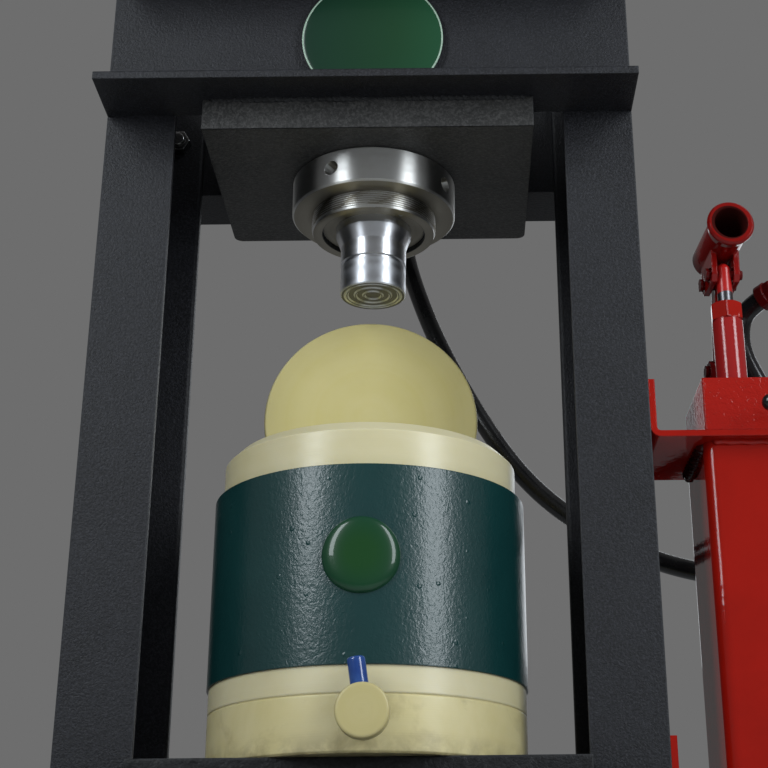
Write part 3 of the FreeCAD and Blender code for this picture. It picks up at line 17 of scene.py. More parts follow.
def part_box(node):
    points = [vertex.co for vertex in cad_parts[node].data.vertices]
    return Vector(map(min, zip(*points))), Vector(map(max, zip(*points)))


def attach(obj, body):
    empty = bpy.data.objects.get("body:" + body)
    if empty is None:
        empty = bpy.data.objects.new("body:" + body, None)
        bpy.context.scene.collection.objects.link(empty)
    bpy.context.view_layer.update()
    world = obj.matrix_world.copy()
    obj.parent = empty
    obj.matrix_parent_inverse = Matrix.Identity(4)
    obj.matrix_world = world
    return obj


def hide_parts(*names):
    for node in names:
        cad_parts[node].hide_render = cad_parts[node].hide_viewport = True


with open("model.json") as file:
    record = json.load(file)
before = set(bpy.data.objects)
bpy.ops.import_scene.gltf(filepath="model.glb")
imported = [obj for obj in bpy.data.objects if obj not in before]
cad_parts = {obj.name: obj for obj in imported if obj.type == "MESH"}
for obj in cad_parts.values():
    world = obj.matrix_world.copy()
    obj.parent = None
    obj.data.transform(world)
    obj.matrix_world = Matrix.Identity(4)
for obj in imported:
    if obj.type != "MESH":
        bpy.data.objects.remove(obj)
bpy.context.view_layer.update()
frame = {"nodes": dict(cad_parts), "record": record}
nodes = frame["nodes"]

# %% [markdown]
# ## The camera
# A product photograph of a tall machine is often taken from low down, looking up. The place, the tilt and
# the lens below were found by matching the frame's straight edges. A matrix built from the camera's own
# right, up and backward directions holds a small roll exactly, where a tracking constraint would lose it.

# %% Camera
EYE = Vector((0.0707, -1.1681, 0.5588))
PITCH = math.radians(21.5987)
ROLL = math.radians(-0.6054)
LENS = 69.6
SHIFT = -0.093

forward = Vector((0, math.cos(PITCH), math.sin(PITCH)))
level = Vector((1, 0, 0))
upright = level.cross(forward)
side = level * math.cos(ROLL) + upright * math.sin(ROLL)
top = upright * math.cos(ROLL) - level * math.sin(ROLL)
camera = bpy.data.objects.new("camera", bpy.data.cameras.new("camera"))
bpy.context.scene.collection.objects.link(camera)
camera.matrix_world = Matrix.Translation(EYE) @ Matrix((side, top, -forward)).transposed().to_4x4()
camera.data.lens = LENS
camera.data.sensor_width = 36
camera.data.shift_x = SHIFT
bpy.context.scene.camera = camera
print("camera at", tuple(round(v, 3) for v in EYE))

# %% [markdown]
# ## The hose
# High-pressure hose has steel wire under its rubber, so it bends in long, springy curves and never kinks.
# A smooth curve through a few well chosen control points gives that, where short straight pieces would
# look like bent wire. Its ends go into the fittings on the cylinder's cap and on the pump's riser. The hose's
# radius is set on its points and the bevel stays at one, because Blender measures a curve's box with the
# points' radius, which is a whole metre if it isn't set.

# %% Hose
HOSE_DIAMETER = 0.0175
HOSE_ROUTE = [
    (0, 0.124, 1.511), (0, 0.168, 1.511), (0.004, 0.211, 1.490), (0.007, 0.238, 1.452), (0.010, 0.247, 1.402),
    (0.013, 0.240, 1.345), (0.016, 0.226, 1.292), (0.022, 0.214, 1.243), (0.034, 0.210, 1.200),
    (0.052, 0.206, 1.150), (0.075, 0.201, 1.100), (0.101, 0.195, 1.050), (0.128, 0.189, 1.007),
    (0.158, 0.182, 0.972), (0.192, 0.174, 0.944), (0.228, 0.165, 0.920), (0.264, 0.151, 0.901),
    (0.300, 0.132, 0.887), (0.335, 0.107, 0.884), (0.360, 0.080, 0.902), (0.367, 0.060, 0.941),
    (0.359, 0.049, 0.985), (0.342, 0.046, 1.026), (0.3245, 0.0455, 1.064), (0.32318, 0.03973, 1.08873),
    (0.32963, 0.03124, 1.10197), (0.3409, 0.0192, 1.1061),
]
line = bpy.data.curves.new("hose", "CURVE")
line.dimensions = "3D"
spline = line.splines.new("NURBS")
spline.points.add(len(HOSE_ROUTE) - 1)
spline.points.foreach_set("co", np.hstack([HOSE_ROUTE, np.ones((len(HOSE_ROUTE), 1))]).ravel())
spline.points.foreach_set("radius", np.full(len(HOSE_ROUTE), HOSE_DIAMETER / 2))
spline.order_u = 3
spline.use_endpoint_u = True
spline.use_smooth = True
line.resolution_u = 12
line.bevel_depth = 1.0
line.bevel_resolution = 8
line.use_fill_caps = True
hose = bpy.data.objects.new("hose", line)
bpy.context.scene.collection.objects.link(hose)
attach(hose, "frame")
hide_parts("ram_hose")
print("hose points", len(HOSE_ROUTE))

# %% [markdown]
# ## The studio
# Two tall softboxes stand left and right of the camera. Their upright reflections on the round vessel show
# where they are: a highlight a third of the way out on a cylinder comes from a lamp about 45 degrees off.
# A large soft fill from the front reaches what the columns shade, and stays out of the reflections, and a
# third softbox behind the press lights its edges. A weak even world light fills the rest, and the camera sees
# a plain grey behind the press.

# %% Studio
GREY = 0.153
AIM = Vector((0, 0, 1.3))
LAMP_COLOUR = (0.89, 0.95, 1.0)
WORLD_LEVEL = 0.16


def softbox(name, azimuth, distance, width, bottom, top, power):
    """A rectangular lamp; azimuth 0 stands in front of the press, 90 degrees on its right."""
    data = bpy.data.lights.new(name, "AREA")
    data.shape = "RECTANGLE"
    data.size, data.size_y = width, top - bottom
    data.energy = power
    data.color = LAMP_COLOUR
    lamp = bpy.data.objects.new(name, data)
    angle = math.radians(azimuth)
    lamp.location = (math.sin(angle) * distance, -math.cos(angle) * distance, (bottom + top) / 2)
    lamp.rotation_euler = (AIM - lamp.location).to_track_quat("-Z", "Y").to_euler()
    bpy.context.scene.collection.objects.link(lamp)
    return lamp


softbox("left_softbox", -39.5, 1.9, 0.52, 1.30, 2.75, 23)
softbox("right_softbox", 49, 1.9, 0.56, 1.00, 2.75, 27)
softbox("back_softbox", 160, 2.2, 1.4, 1.2, 2.2, 7)
front_fill = softbox("front_fill", 18, 2.6, 1.8, 0.3, 1.7, 15)
front_fill.visible_glossy = False

world = bpy.data.worlds.new("studio")
bpy.context.scene.world = world
world.use_nodes = True
tree = world.node_tree
tree.nodes.clear()
path = tree.nodes.new("ShaderNodeLightPath")
seen = tree.nodes.new("ShaderNodeMath")
seen.operation = "MAXIMUM"
seen_all = tree.nodes.new("ShaderNodeMath")
seen_all.operation = "MAXIMUM"
fill = tree.nodes.new("ShaderNodeBackground")
fill.inputs["Color"].default_value = (0.95, 0.97, 1.0, 1)
fill.inputs["Strength"].default_value = WORLD_LEVEL
backdrop = tree.nodes.new("ShaderNodeBackground")
backdrop.inputs["Color"].default_value = (GREY, GREY, GREY, 1)
mixed = tree.nodes.new("ShaderNodeMixShader")
output = tree.nodes.new("ShaderNodeOutputWorld")
tree.links.new(path.outputs["Is Camera Ray"], seen.inputs[0])
tree.links.new(path.outputs["Is Glossy Ray"], seen.inputs[1])
tree.links.new(seen.outputs[0], seen_all.inputs[0])
tree.links.new(path.outputs["Is Transmission Ray"], seen_all.inputs[1])
tree.links.new(seen_all.outputs[0], mixed.inputs[0])
tree.links.new(fill.outputs[0], mixed.inputs[1])
tree.links.new(backdrop.outputs[0], mixed.inputs[2])
tree.links.new(mixed.outputs[0], output.inputs[0])
bpy.context.scene.view_settings.view_transform = "Standard"

# %% [markdown]
# ## Two small tools for shader nodes
# A material is a graph, and a graph is easier to read as nested calls than as a list of nodes and links.
# `wire` adds one node and fills its inputs, either with a number or with another node's output. `effect`
# makes a node group, so that an effect which several finishes share is built only once.

# %% Shader helpers


def wire(tree, kind, inputs=None, **settings):
    """Add a shader node. An input is a number, a colour or another node's output socket."""
    made = tree.nodes.new("ShaderNode" + kind)
    for key, value in settings.items():
        setattr(made, key, value)
    for key, value in (inputs or {}).items():
        if isinstance(value, bpy.types.NodeSocket):
            tree.links.new(value, made.inputs[key])
        else:
            made.inputs[key].default_value = value
    return made


def math_node(tree, operation, first, second=0.0, clamp=False):
    return wire(tree, "Math", {0: first, 1: second}, operation=operation, use_clamp=clamp).outputs[0]


def effect(name, inputs, outputs):
    """A node group with float or colour sockets; returns its tree, its input node and its output node."""
    group = bpy.data.node_groups.new(name, "ShaderNodeTree")
    for label, kind, value in inputs:
        socket = group.interface.new_socket(label, in_out="INPUT", socket_type=f"NodeSocket{kind}")
        if kind != "Vector":
            socket.default_value = value
    for label, kind in outputs:
        group.interface.new_socket(label, in_out="OUTPUT", socket_type=f"NodeSocket{kind}")
    return group, group.nodes.new("NodeGroupInput").outputs, group.nodes.new("NodeGroupOutput").inputs


def use(tree, group, inputs):
    made = tree.nodes.new("ShaderNodeGroup")
    made.node_tree = group
    for key, value in inputs.items():
        if isinstance(value, bpy.types.NodeSocket):
            tree.links.new(value, made.inputs[key])
        else:
            made.inputs[key].default_value = value
    return made.outputs


print("helpers ready")

# %% [markdown]
# ## Shared effect: pebble
# Powder coat dries with an orange peel and brushed enamel with lumps. Both could be modelled as real bumps,
# but they are well under a millimetre deep, so two noises of different size give a height for a Bump node.

# %% Pebble
pebble, given, out = effect("pebble", [("Point", "Vector", None), ("Size", "Float", 0.002),
                                       ("Softness", "Float", 0.5)], [("Height", "Float")])
scale = math_node(pebble, "DIVIDE", 1.0, given["Size"])
coarse = wire(pebble, "TexNoise", {"Vector": given["Point"], "Scale": scale, "Detail": 2.0,
                                   "Roughness": given["Softness"], "Distortion": 0.6}).outputs["Fac"]
fine_scale = math_node(pebble, "MULTIPLY", scale, 2.7)
fine = wire(pebble, "TexNoise", {"Vector": given["Point"], "Scale": fine_scale, "Detail": 1.0}).outputs["Fac"]
both = math_node(pebble, "MULTIPLY_ADD", fine, 0.35)
pebble.links.new(coarse, both.node.inputs[2])
pebble.links.new(both, out["Height"])
print(pebble.name)

# %% [markdown]
# ## Shared effect: edges
# Paint draws thin and steel shines along corners. A Bevel node gives the normal of a rounded corner without
# changing the mesh, and where that normal leaves the true one there is an edge, which also makes a mask. Some
# finishes use that mask to paint a highlight along their corners.

# %% Edges
edges, given, out = effect("edges", [("Radius", "Float", 0.001)], [("Normal", "Vector"), ("Mask", "Float")])
rounded_normal = wire(edges, "Bevel", {"Radius": given["Radius"]}, samples=4).outputs[0]
true_normal = wire(edges, "NewGeometry").outputs["Normal"]
agree = wire(edges, "VectorMath", {0: rounded_normal, 1: true_normal}, operation="DOT_PRODUCT").outputs["Value"]
mask = wire(edges, "MapRange", {"Value": agree, "From Min": 0.995, "From Max": 0.85, "To Min": 0.0,
                                "To Max": 1.0}).outputs[0]
edges.links.new(rounded_normal, out["Normal"])
edges.links.new(mask, out["Mask"])
print(edges.name)

# %% [markdown]
# ## Shared effect: tool rings
# A lathe's tool leaves fine grooves round the axis, in bands that differ a little. A noise of one variable,
# the distance along or from the axis, gives both, and each finish says what its distance is.

# %% Tool rings
rings, given, out = effect("tool_rings", [("Distance", "Float", 0.0), ("Pitch", "Float", 0.0006)],
                           [("Height", "Float"), ("Shade", "Float")])
step = math_node(rings, "DIVIDE", given["Distance"], given["Pitch"])
groove = wire(rings, "TexNoise", {"W": step, "Scale": 1.0, "Detail": 1.0}, noise_dimensions="1D").outputs["Fac"]
slow_step = math_node(rings, "MULTIPLY", step, 0.07)
band = wire(rings, "TexNoise", {"W": slow_step, "Scale": 1.0, "Detail": 2.0}, noise_dimensions="1D").outputs["Fac"]
rings.links.new(groove, out["Height"])
rings.links.new(band, out["Shade"])
print(rings.name)

# %% [markdown]
# ## Shared effect: mottle
# Oil, handling and thin paint change a colour slowly across a surface. A noise with much detail, cut to a
# narrow range, makes patches with ragged borders, at whatever size a finish asks for.

# %% Mottle
mottle, given, out = effect("mottle", [("Point", "Vector", None), ("Size", "Float", 0.05), ("From", "Float", 0.4),
                                       ("To", "Float", 0.7)], [("Mask", "Float")])
scale = math_node(mottle, "DIVIDE", 1.0, given["Size"])
cloud = wire(mottle, "TexNoise", {"Vector": given["Point"], "Scale": scale, "Detail": 5.0, "Roughness": 0.6,
                                  "Distortion": 0.4}).outputs["Fac"]
mask = wire(mottle, "MapRange", {"Value": cloud, "From Min": given["From"], "From Max": given["To"]}).outputs[0]
mottle.links.new(mask, out["Mask"])
print(mottle.name)

# %% [markdown]
# ## Shared effect: specks
# Dust under paint and small pits are separate dots. Voronoi cells give one dot to each cell, and only the
# cells whose random colour is under a limit keep theirs, so that the dots don't look laid out.

# %% Specks
specks, given, out = effect("specks", [("Point", "Vector", None), ("Size", "Float", 0.004),
                                       ("Share", "Float", 0.1)], [("Mask", "Float")])
scale = math_node(specks, "DIVIDE", 1.0, given["Size"])
cells = wire(specks, "TexVoronoi", {"Vector": given["Point"], "Scale": scale, "Randomness": 1.0})
chosen = wire(specks, "SeparateColor", {"Color": cells.outputs["Color"]}).outputs["Red"]
kept = math_node(specks, "LESS_THAN", chosen, given["Share"])
dot = wire(specks, "MapRange", {"Value": cells.outputs["Distance"], "From Min": 0.16, "From Max": 0.08}).outputs[0]
specks.links.new(math_node(specks, "MULTIPLY", dot, kept), out["Mask"])
print(specks.name)

# %% [markdown]
# ## A starting point for every finish
# Each finish begins with the same three nodes: the object's own coordinates, the shader and the output.
# `tint` blends two colours by a mask, and `relief` turns a height into a normal. The heights are true
# lengths in metres, so a bump of a tenth of a millimetre means the same on every piece.

# %% Finish helpers
FINISHES = {}


def finish(name, colour, roughness, **sockets):
    """A new material; returns its tree, its Principled shader and the object's coordinates."""
    material = bpy.data.materials.new(name)
    material.use_nodes = True
    tree = material.node_tree
    tree.nodes.clear()
    shader = wire(tree, "BsdfPrincipled", {"Base Color": (*colour, 1), "Roughness": roughness})
    for key, value in sockets.items():
        shader.inputs[key.replace("_", " ")].default_value = value
    wire(tree, "OutputMaterial", {"Surface": shader.outputs[0]})
    FINISHES[name] = material
    return tree, shader.inputs, wire(tree, "TexCoord").outputs["Object"]


def tint(tree, mask, first, second):
    """Blend two colours, or a colour socket and a colour, by a mask."""
    pair = [value if isinstance(value, bpy.types.NodeSocket) else (*value, 1) for value in (first, second)]
    return wire(tree, "Mix", {0: mask, 6: pair[0], 7: pair[1]}, data_type="RGBA").outputs[2]


def relief(tree, height, depth, normal=None):
    inputs = {"Height": height, "Distance": depth}
    if normal is not None:
        inputs["Normal"] = normal
    return wire(tree, "Bump", inputs).outputs[0]


def between(tree, mask, low, high):
    return wire(tree, "MapRange", {"Value": mask, "To Min": low, "To Max": high}).outputs[0]


print("finish helpers ready")

# %% [markdown]
# ## Powder coat on the frame
# The channels are sprayed with charcoal powder and baked. Powder melts into a satin skin with a fine orange
# peel, and it draws thin along sharp corners. The peel is a bump two or three millimetres across. The corners
# take a pale line from the *edges* effect, for the thin paint and as a painted highlight of the rounded corner.

# %% Frame paint


def frame_paint(name, peel, low, high, rough, speckle=0.75):
    """Satin powder coat; peel is the size of its orange peel, and speckle how far its grain shows."""
    tree, shader, point = finish(name, low, 0.5, Specular_IOR_Level=0.38)
    edge = use(tree, edges, {"Radius": 0.0020})
    peeled = use(tree, pebble, {"Point": point, "Size": peel})["Height"]
    cloud = use(tree, mottle, {"Point": point, "Size": 0.06, "From": 0.35, "To": 0.7})["Mask"]
    grain = use(tree, mottle, {"Point": point, "Size": peel * 0.8, "From": 0.46, "To": 0.60})["Mask"]
    base = tint(tree, cloud, low, high)
    grained = tint(tree, math_node(tree, "MULTIPLY", grain, speckle), base, tuple(v * 2.2 for v in high))
    # Paler along the corners: thin paint, and a painted highlight of the rounded corner.
    thin_paint_and_highlight = math_node(tree, "MULTIPLY", edge["Mask"], 0.35)
    tree.links.new(tint(tree, thin_paint_and_highlight, grained, (0.09, 0.094, 0.10)), shader["Base Color"])
    tree.links.new(between(tree, peeled, *rough), shader["Roughness"])
    tree.links.new(relief(tree, peeled, 0.00055, edge["Normal"]), shader["Normal"])


frame_paint("frame_paint", 0.0021, (0.0054, 0.0056, 0.0071), (0.0092, 0.0095, 0.0118), (0.40, 0.62))
frame_paint("plate_paint", 0.0028, (0.0190, 0.0190, 0.0188), (0.0360, 0.0352, 0.0340), (0.36, 0.56), 0.5)
frame_paint("bed_paint", 0.0026, (0.0030, 0.0031, 0.0036), (0.0060, 0.0062, 0.0070), (0.40, 0.60))
frame_paint("cylinder_paint", 0.0030, (0.0080, 0.0085, 0.0100), (0.0120, 0.0130, 0.0150), (0.30, 0.50))
print(list(FINISHES))

# %% [markdown]
# ## Red enamel on the pump
# The pump is dipped or brushed in thick red enamel. It pools in corners, runs a little, and dries to a hard
# gloss with dust under it. A clear coat gives the sharp reflection, and a slow, shallow bump makes that
# reflection wobble as it does on real enamel.

# %% Pump paint


def enamel(name, colour, deep, wobble, size, rough, coat):
    """Red gloss; deep is its colour where it pooled, wobble the depth of its waves and size their width."""
    tree, shader, point = finish(name, colour, rough, Coat_Weight=coat, Coat_Roughness=0.04,
                                 Specular_IOR_Level=0.0)
    edge = use(tree, edges, {"Radius": 0.0016})
    slow = use(tree, pebble, {"Point": point, "Size": size, "Softness": 0.4})["Height"]
    dust = use(tree, specks, {"Point": point, "Size": 0.006, "Share": 0.22})["Mask"]
    pooled = use(tree, mottle, {"Point": point, "Size": 0.05, "From": 0.4, "To": 0.75})["Mask"]
    shade = tint(tree, math_node(tree, "MULTIPLY", pooled, 0.5), colour, deep)
    tree.links.new(shade, shader["Base Color"])
    height = math_node(tree, "MULTIPLY_ADD", dust, 0.35)
    tree.links.new(slow, height.node.inputs[2])
    normal = relief(tree, height, wobble, edge["Normal"])
    tree.links.new(normal, shader["Normal"])
    tree.links.new(normal, shader["Coat Normal"])


enamel("pump_red", (0.305, 0.007, 0.003), (0.205, 0.005, 0.002), 0.00012, 0.011, 0.45, 0.8)
enamel("lever_red", (0.21, 0.004, 0.003), (0.11, 0.003, 0.002), 0.00010, 0.008, 0.32, 0.9)
enamel("gloss_red", (0.31, 0.014, 0.014), (0.22, 0.008, 0.008), 0.00005, 0.016, 0.30, 1.0)
enamel("weld_red", (0.045, 0.006, 0.005), (0.016, 0.004, 0.004), 0.00020, 0.004, 0.30, 0.8)
enamel("block_red", (0.32, 0.012, 0.008), (0.22, 0.008, 0.006), 0.00060, 0.0036, 0.42, 0.35)
enamel("fitting_steel", (0.10, 0.004, 0.004), (0.06, 0.003, 0.003), 0.00010, 0.006, 0.35, 0.5)


def socket_paint():
    """The socket is dipped like the tank; its bore is coloured dark brown, for bare steel and painted shade inside
    the tube.
    """
    low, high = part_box("handle_socket")
    across = (low.x + high.x) / 2
    material = FINISHES["lever_red"].copy()
    material.name = "socket_red"
    tree = material.node_tree
    point = wire(tree, "TexCoord").outputs["Object"]
    moved = wire(tree, "Mapping", {"Vector": point, "Location": (-across, 0, -SOCKET_HEIGHT)}).outputs[0]
    upright = wire(tree, "VectorMath", {0: moved, 1: (1, 0, 1)}, operation="MULTIPLY").outputs[0]
    distance = wire(tree, "VectorMath", {0: upright}, operation="LENGTH").outputs["Value"]
    bore = math_node(tree, "LESS_THAN", distance, SOCKET_BORE)
    shader = next(item for item in tree.nodes if item.type == "BSDF_PRINCIPLED")
    painted = shader.inputs["Base Color"].links[0].from_socket
    # The bore's dark brown stands for bare steel and paints the shade inside the tube.
    tree.links.new(tint(tree, bore, painted, (0.045, 0.007, 0.006)), shader.inputs["Base Color"])
    tree.links.new(between(tree, bore, 0.7, 0.0), shader.inputs["Coat Weight"])
    tree.links.new(between(tree, bore, 0.35, 0.9), shader.inputs["Roughness"])
    FINISHES["socket_red"] = material


SOCKET_HEIGHT = 1.129
SOCKET_BORE = 0.0152
socket_paint()
print(list(FINISHES))

# %% [markdown]
# ## Lumpy green paint on the sleeve
# The steel sleeve round the barrel has a heavy brushed coat: a deep blue-green with lumps and short runs
# that break up the softboxes' reflections. A pebble that is stretched a little downwards gives the lumps,
# scattered specks give the pits and runs, and a coat over them keeps each lump's highlight bright.

# %% Sleeve paint
tree, shader, point = finish("green_paint", (0.0022, 0.030, 0.030), 0.34, Coat_Weight=0.32, Coat_Roughness=0.15)
edge = use(tree, edges, {"Radius": 0.0012})
stretched = wire(tree, "Mapping", {"Vector": point, "Scale": (1, 1, 0.8)}).outputs[0]
lumps = use(tree, pebble, {"Point": stretched, "Size": 0.0030, "Softness": 0.45})["Height"]
pits = use(tree, specks, {"Point": point, "Size": 0.013, "Share": 0.4})["Mask"]
surface_height = math_node(tree, "MULTIPLY_ADD", pits, 1.4)
tree.links.new(lumps, surface_height.node.inputs[2])
cloud = use(tree, mottle, {"Point": point, "Size": 0.09, "From": 0.35, "To": 0.7})["Mask"]
tree.links.new(tint(tree, cloud, (0.0022, 0.030, 0.030), (0.0040, 0.038, 0.037)), shader["Base Color"])
painted = relief(tree, surface_height, 0.00026, edge["Normal"])
tree.links.new(painted, shader["Normal"])
tree.links.new(painted, shader["Coat Normal"])
print("green_paint")

# %% [markdown]
# ## Turned cream plastic
# The tray, the barrel, the disc and the tap's knob are turned from cast polyamide. The lathe leaves faint
# rings, light goes a little way into the plastic, and oil has stained it unevenly. The rings follow each
# piece's own axis, so the finish is a function of the axis: height for the upright pieces, and the distance
# from the centre for the disc, whose pattern a Mapping node moves to the disc's middle.

# %% Cream plastic
disc_low, disc_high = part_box("pressing_disc")
DISC_CENTRE = (disc_low + disc_high) / 2
DARK_FOOT_HIGH = 0.016


def cream(name, centre, flat, dirt, clean=(0.65, 0.57, 0.305), oiled=(0.555, 0.475, 0.205), foot=None, rim=0.0):
    """Turned plastic; flat zeroes the coordinate along the lathe's axis, or is None for rings along Z.

    Above the height foot the colour turns patchily darker brown, fading out higher up. The share rim paints a pale
    highlight along the corners."""
    tree, shader, point = finish(name, (0.6, 0.55, 0.32), 0.38, Subsurface_Weight=0.18, Subsurface_Scale=0.006,
                                 Subsurface_Radius=(1.0, 0.8, 0.4))
    local = wire(tree, "Mapping", {"Vector": point, "Location": tuple(-v for v in centre)}).outputs[0]
    if flat is None:
        distance = wire(tree, "SeparateXYZ", {"Vector": local}).outputs["Z"]
    else:
        across = wire(tree, "VectorMath", {0: local, 1: flat}, operation="MULTIPLY").outputs[0]
        distance = wire(tree, "VectorMath", {0: across}, operation="LENGTH").outputs["Value"]
    turning = use(tree, rings, {"Distance": distance, "Pitch": 0.0009})
    edge = use(tree, edges, {"Radius": 0.0015})
    oil = use(tree, mottle, {"Point": point, "Size": 0.07, "From": 0.38, "To": 0.72})["Mask"]
    stain = use(tree, mottle, {"Point": point, "Size": 0.028, "From": 0.55, "To": 0.8})["Mask"]
    body = tint(tree, oil, clean, oiled)
    ringed = tint(tree, math_node(tree, "MULTIPLY", turning["Shade"], 0.22), body, (0.72, 0.67, 0.46))
    stained = tint(tree, math_node(tree, "MULTIPLY", stain, dirt), ringed, (0.30, 0.24, 0.11))
    if foot is not None:
        # Darker brown patches towards the piece's foot.
        height = wire(tree, "SeparateXYZ", {"Vector": point}).outputs["Z"]
        low_share = wire(tree, "MapRange", {"Value": height, "From Min": foot + DARK_FOOT_HIGH,
                                            "From Max": foot}).outputs[0]
        patch = use(tree, mottle, {"Point": point, "Size": 0.016, "From": 0.38, "To": 0.62})["Mask"]
        darker_foot = math_node(tree, "MULTIPLY", math_node(tree, "MULTIPLY", low_share, patch), 0.6)
        stained = tint(tree, darker_foot, stained, (0.20, 0.16, 0.08))
    # A pale line along the corners: a painted highlight of the rounded edges.
    if rim:
        stained = tint(tree, math_node(tree, "MULTIPLY", edge["Mask"], rim), stained, (0.88, 0.84, 0.66))
    tree.links.new(stained, shader["Base Color"])
    tree.links.new(between(tree, turning["Shade"], 0.25, 0.38), shader["Roughness"])
    tree.links.new(relief(tree, turning["Height"], 0.00003, edge["Normal"]), shader["Normal"])


VESSEL_FOOT = (0, 0, 0.7)
KNOB_CENTRE = (0.0056, 0, 0.723)
ROUND_Y = (1, 0, 1)
cream("cream_plastic", VESSEL_FOOT, None, 0.08, (0.62, 0.56, 0.355), (0.57, 0.505, 0.28), rim=0.35)
cream("cream_tray", VESSEL_FOOT, None, 0.55, foot=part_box("oil_tray")[0].z)
cream("cream_disc", DISC_CENTRE, ROUND_Y, 0.06, (0.60, 0.52, 0.215), (0.57, 0.49, 0.18), rim=0.8)
cream("cream_knob", KNOB_CENTRE, ROUND_Y, 0.03, (0.465, 0.395, 0.165), (0.43, 0.365, 0.145))
print("disc centre", [round(v, 4) for v in DISC_CENTRE])

# %% [markdown]
# ## Turned and ground steel
# Ring nut, gland and ram were cut on a lathe. Their grooves run round the axis, and so they spread each
# reflection up and down. Anisotropy with a radial tangent does this on the shader itself, and a fine bump
# adds the single grooves that one can see. A faint brown mottle stands for old oil.

# %% Steel
OIL_TINT = (0.55, 0.50, 0.38)
FLAT_ENOUGH = 0.8


def steel(name, colour, rough, pitch, groove, anisotropy, oil=0.15, radial=False, flat_end_shade=None, painted_glint=0.0):
    """Turned steel; the flat-end pair gives its flat ends' roughness and a darker colour, a painted shade.

    The share of the glint paints a highlight along the corners, going that far towards white."""
    tree, shader, point = finish(name, colour, rough, Metallic=1.0, Anisotropic=anisotropy,
                                 Anisotropic_Rotation=0.25)
    if radial:
        flat = wire(tree, "VectorMath", {0: point, 1: (1, 1, 0)}, operation="MULTIPLY").outputs[0]
        distance = wire(tree, "VectorMath", {0: flat}, operation="LENGTH").outputs["Value"]
        height = wire(tree, "SeparateXYZ", {"Vector": point}).outputs["Z"]
        distance = math_node(tree, "ADD", distance, height)
    else:
        distance = wire(tree, "SeparateXYZ", {"Vector": point}).outputs["Z"]
    turning = use(tree, rings, {"Distance": distance, "Pitch": pitch})
    edge = use(tree, edges, {"Radius": 0.0005 + 0.001 * painted_glint})
    film = use(tree, mottle, {"Point": point, "Size": 0.02, "From": 0.45, "To": 0.75})["Mask"]
    oily = tuple(v * w for v, w in zip(colour, OIL_TINT))
    shade = tint(tree, math_node(tree, "MULTIPLY", film, oil), colour, oily)
    roughness = between(tree, turning["Shade"], rough * 0.75, rough * 1.35)
    # Flat ends take a darker, olive colour: painted shade, tinted like the surroundings they reflect.
    if flat_end_shade is not None:
        upward = wire(tree, "SeparateXYZ", {"Vector": wire(tree, "NewGeometry").outputs["Normal"]}).outputs["Z"]
        faced = math_node(tree, "GREATER_THAN", math_node(tree, "ABSOLUTE", upward), FLAT_ENOUGH)
        dulled = math_node(tree, "MULTIPLY", faced, flat_end_shade[0] - rough)
        roughness = math_node(tree, "ADD", roughness, dulled)
        shade = tint(tree, faced, shade, flat_end_shade[1])
    # Corners go towards white: a painted highlight.
    if painted_glint:
        shade = tint(tree, math_node(tree, "MULTIPLY", edge["Mask"], painted_glint), shade, (0.9, 0.9, 0.9))
    tree.links.new(shade, shader["Base Color"])
    tree.links.new(roughness, shader["Roughness"])
    tree.links.new(relief(tree, turning["Height"], groove, edge["Normal"]), shader["Normal"])
    tree.links.new(wire(tree, "Tangent", direction_type="RADIAL", axis="Z").outputs[0], shader["Tangent"])


steel("turned_steel", (0.78, 0.78, 0.76), 0.44, 0.0005, 0.000003, 1.0, radial=True,
      flat_end_shade=(0.36, (0.36, 0.335, 0.28)))
steel("chrome_rod", (0.80, 0.82, 0.86), 0.35, 0.0005, 0.000001, 0.75, radial=True)
steel("saddle_steel", (0.84, 0.87, 0.92), 0.48, 0.0005, 0.000002, 0.8, radial=True,
      flat_end_shade=(0.55, (0.20, 0.205, 0.23)))
steel("spring_steel", (0.30, 0.30, 0.31), 0.35, 0.002, 0.00001, 0.0)
steel("plain_steel", (0.25, 0.25, 0.26), 0.28, 0.0006, 0.00001, 0.3)
steel("stainless", (0.60, 0.60, 0.58), 0.3, 0.0008, 0.00001, 0.3, radial=True,
      flat_end_shade=(0.40, (0.24, 0.225, 0.19)))
# The nut inside the column is darkened to paint the shade it sits in, and its corners carry a painted highlight.
steel("zinc", (0.22, 0.22, 0.22), 0.26, 0.0006, 0.00001, 0.0, oil=0.3, painted_glint=1.0)
print([name for name in FINISHES if "steel" in name])

# %% [markdown]
# ## The plunger's two finishes
# Only the plunger's eye was painted, before the rod was oiled and put in, so the paint ends in an uneven
# line a little above the pump's nut. One material holds both: a mask from the height, roughened with noise,
# changes the colour, the metalness and the roughness together.

# %% Plunger
tree, shader, point = finish("plunger_steel", (0.2, 0.2, 0.21), 0.2)
height = wire(tree, "SeparateXYZ", {"Vector": point}).outputs["Z"]
ragged = wire(tree, "TexNoise", {"Vector": point, "Scale": 160.0, "Detail": 2.0}).outputs["Fac"]
line_height = between(tree, ragged, 1.0800, 1.0835)
painted = math_node(tree, "GREATER_THAN", height, line_height)
tree.links.new(tint(tree, painted, (0.13, 0.13, 0.14), (0.40, 0.010, 0.008)), shader["Base Color"])
tree.links.new(between(tree, painted, 1.0, 0.0), shader["Metallic"])
tree.links.new(between(tree, painted, 0.33, 0.28), shader["Roughness"])
film = use(tree, pebble, {"Point": point, "Size": 0.004})["Height"]
tree.links.new(relief(tree, film, 0.00005, use(tree, edges, {"Radius": 0.0008})["Normal"]), shader["Normal"])
print("plunger_steel")

# %% [markdown]
# ## Rubber and moulded plastics
# The hose's cover is smooth black rubber with a soft gloss, the valve's tips are glossy black balls, and
# the tap's lever is blue moulded plastic. They differ only in colour and roughness, so one function makes
# them all.

# %% Rubber and plastics


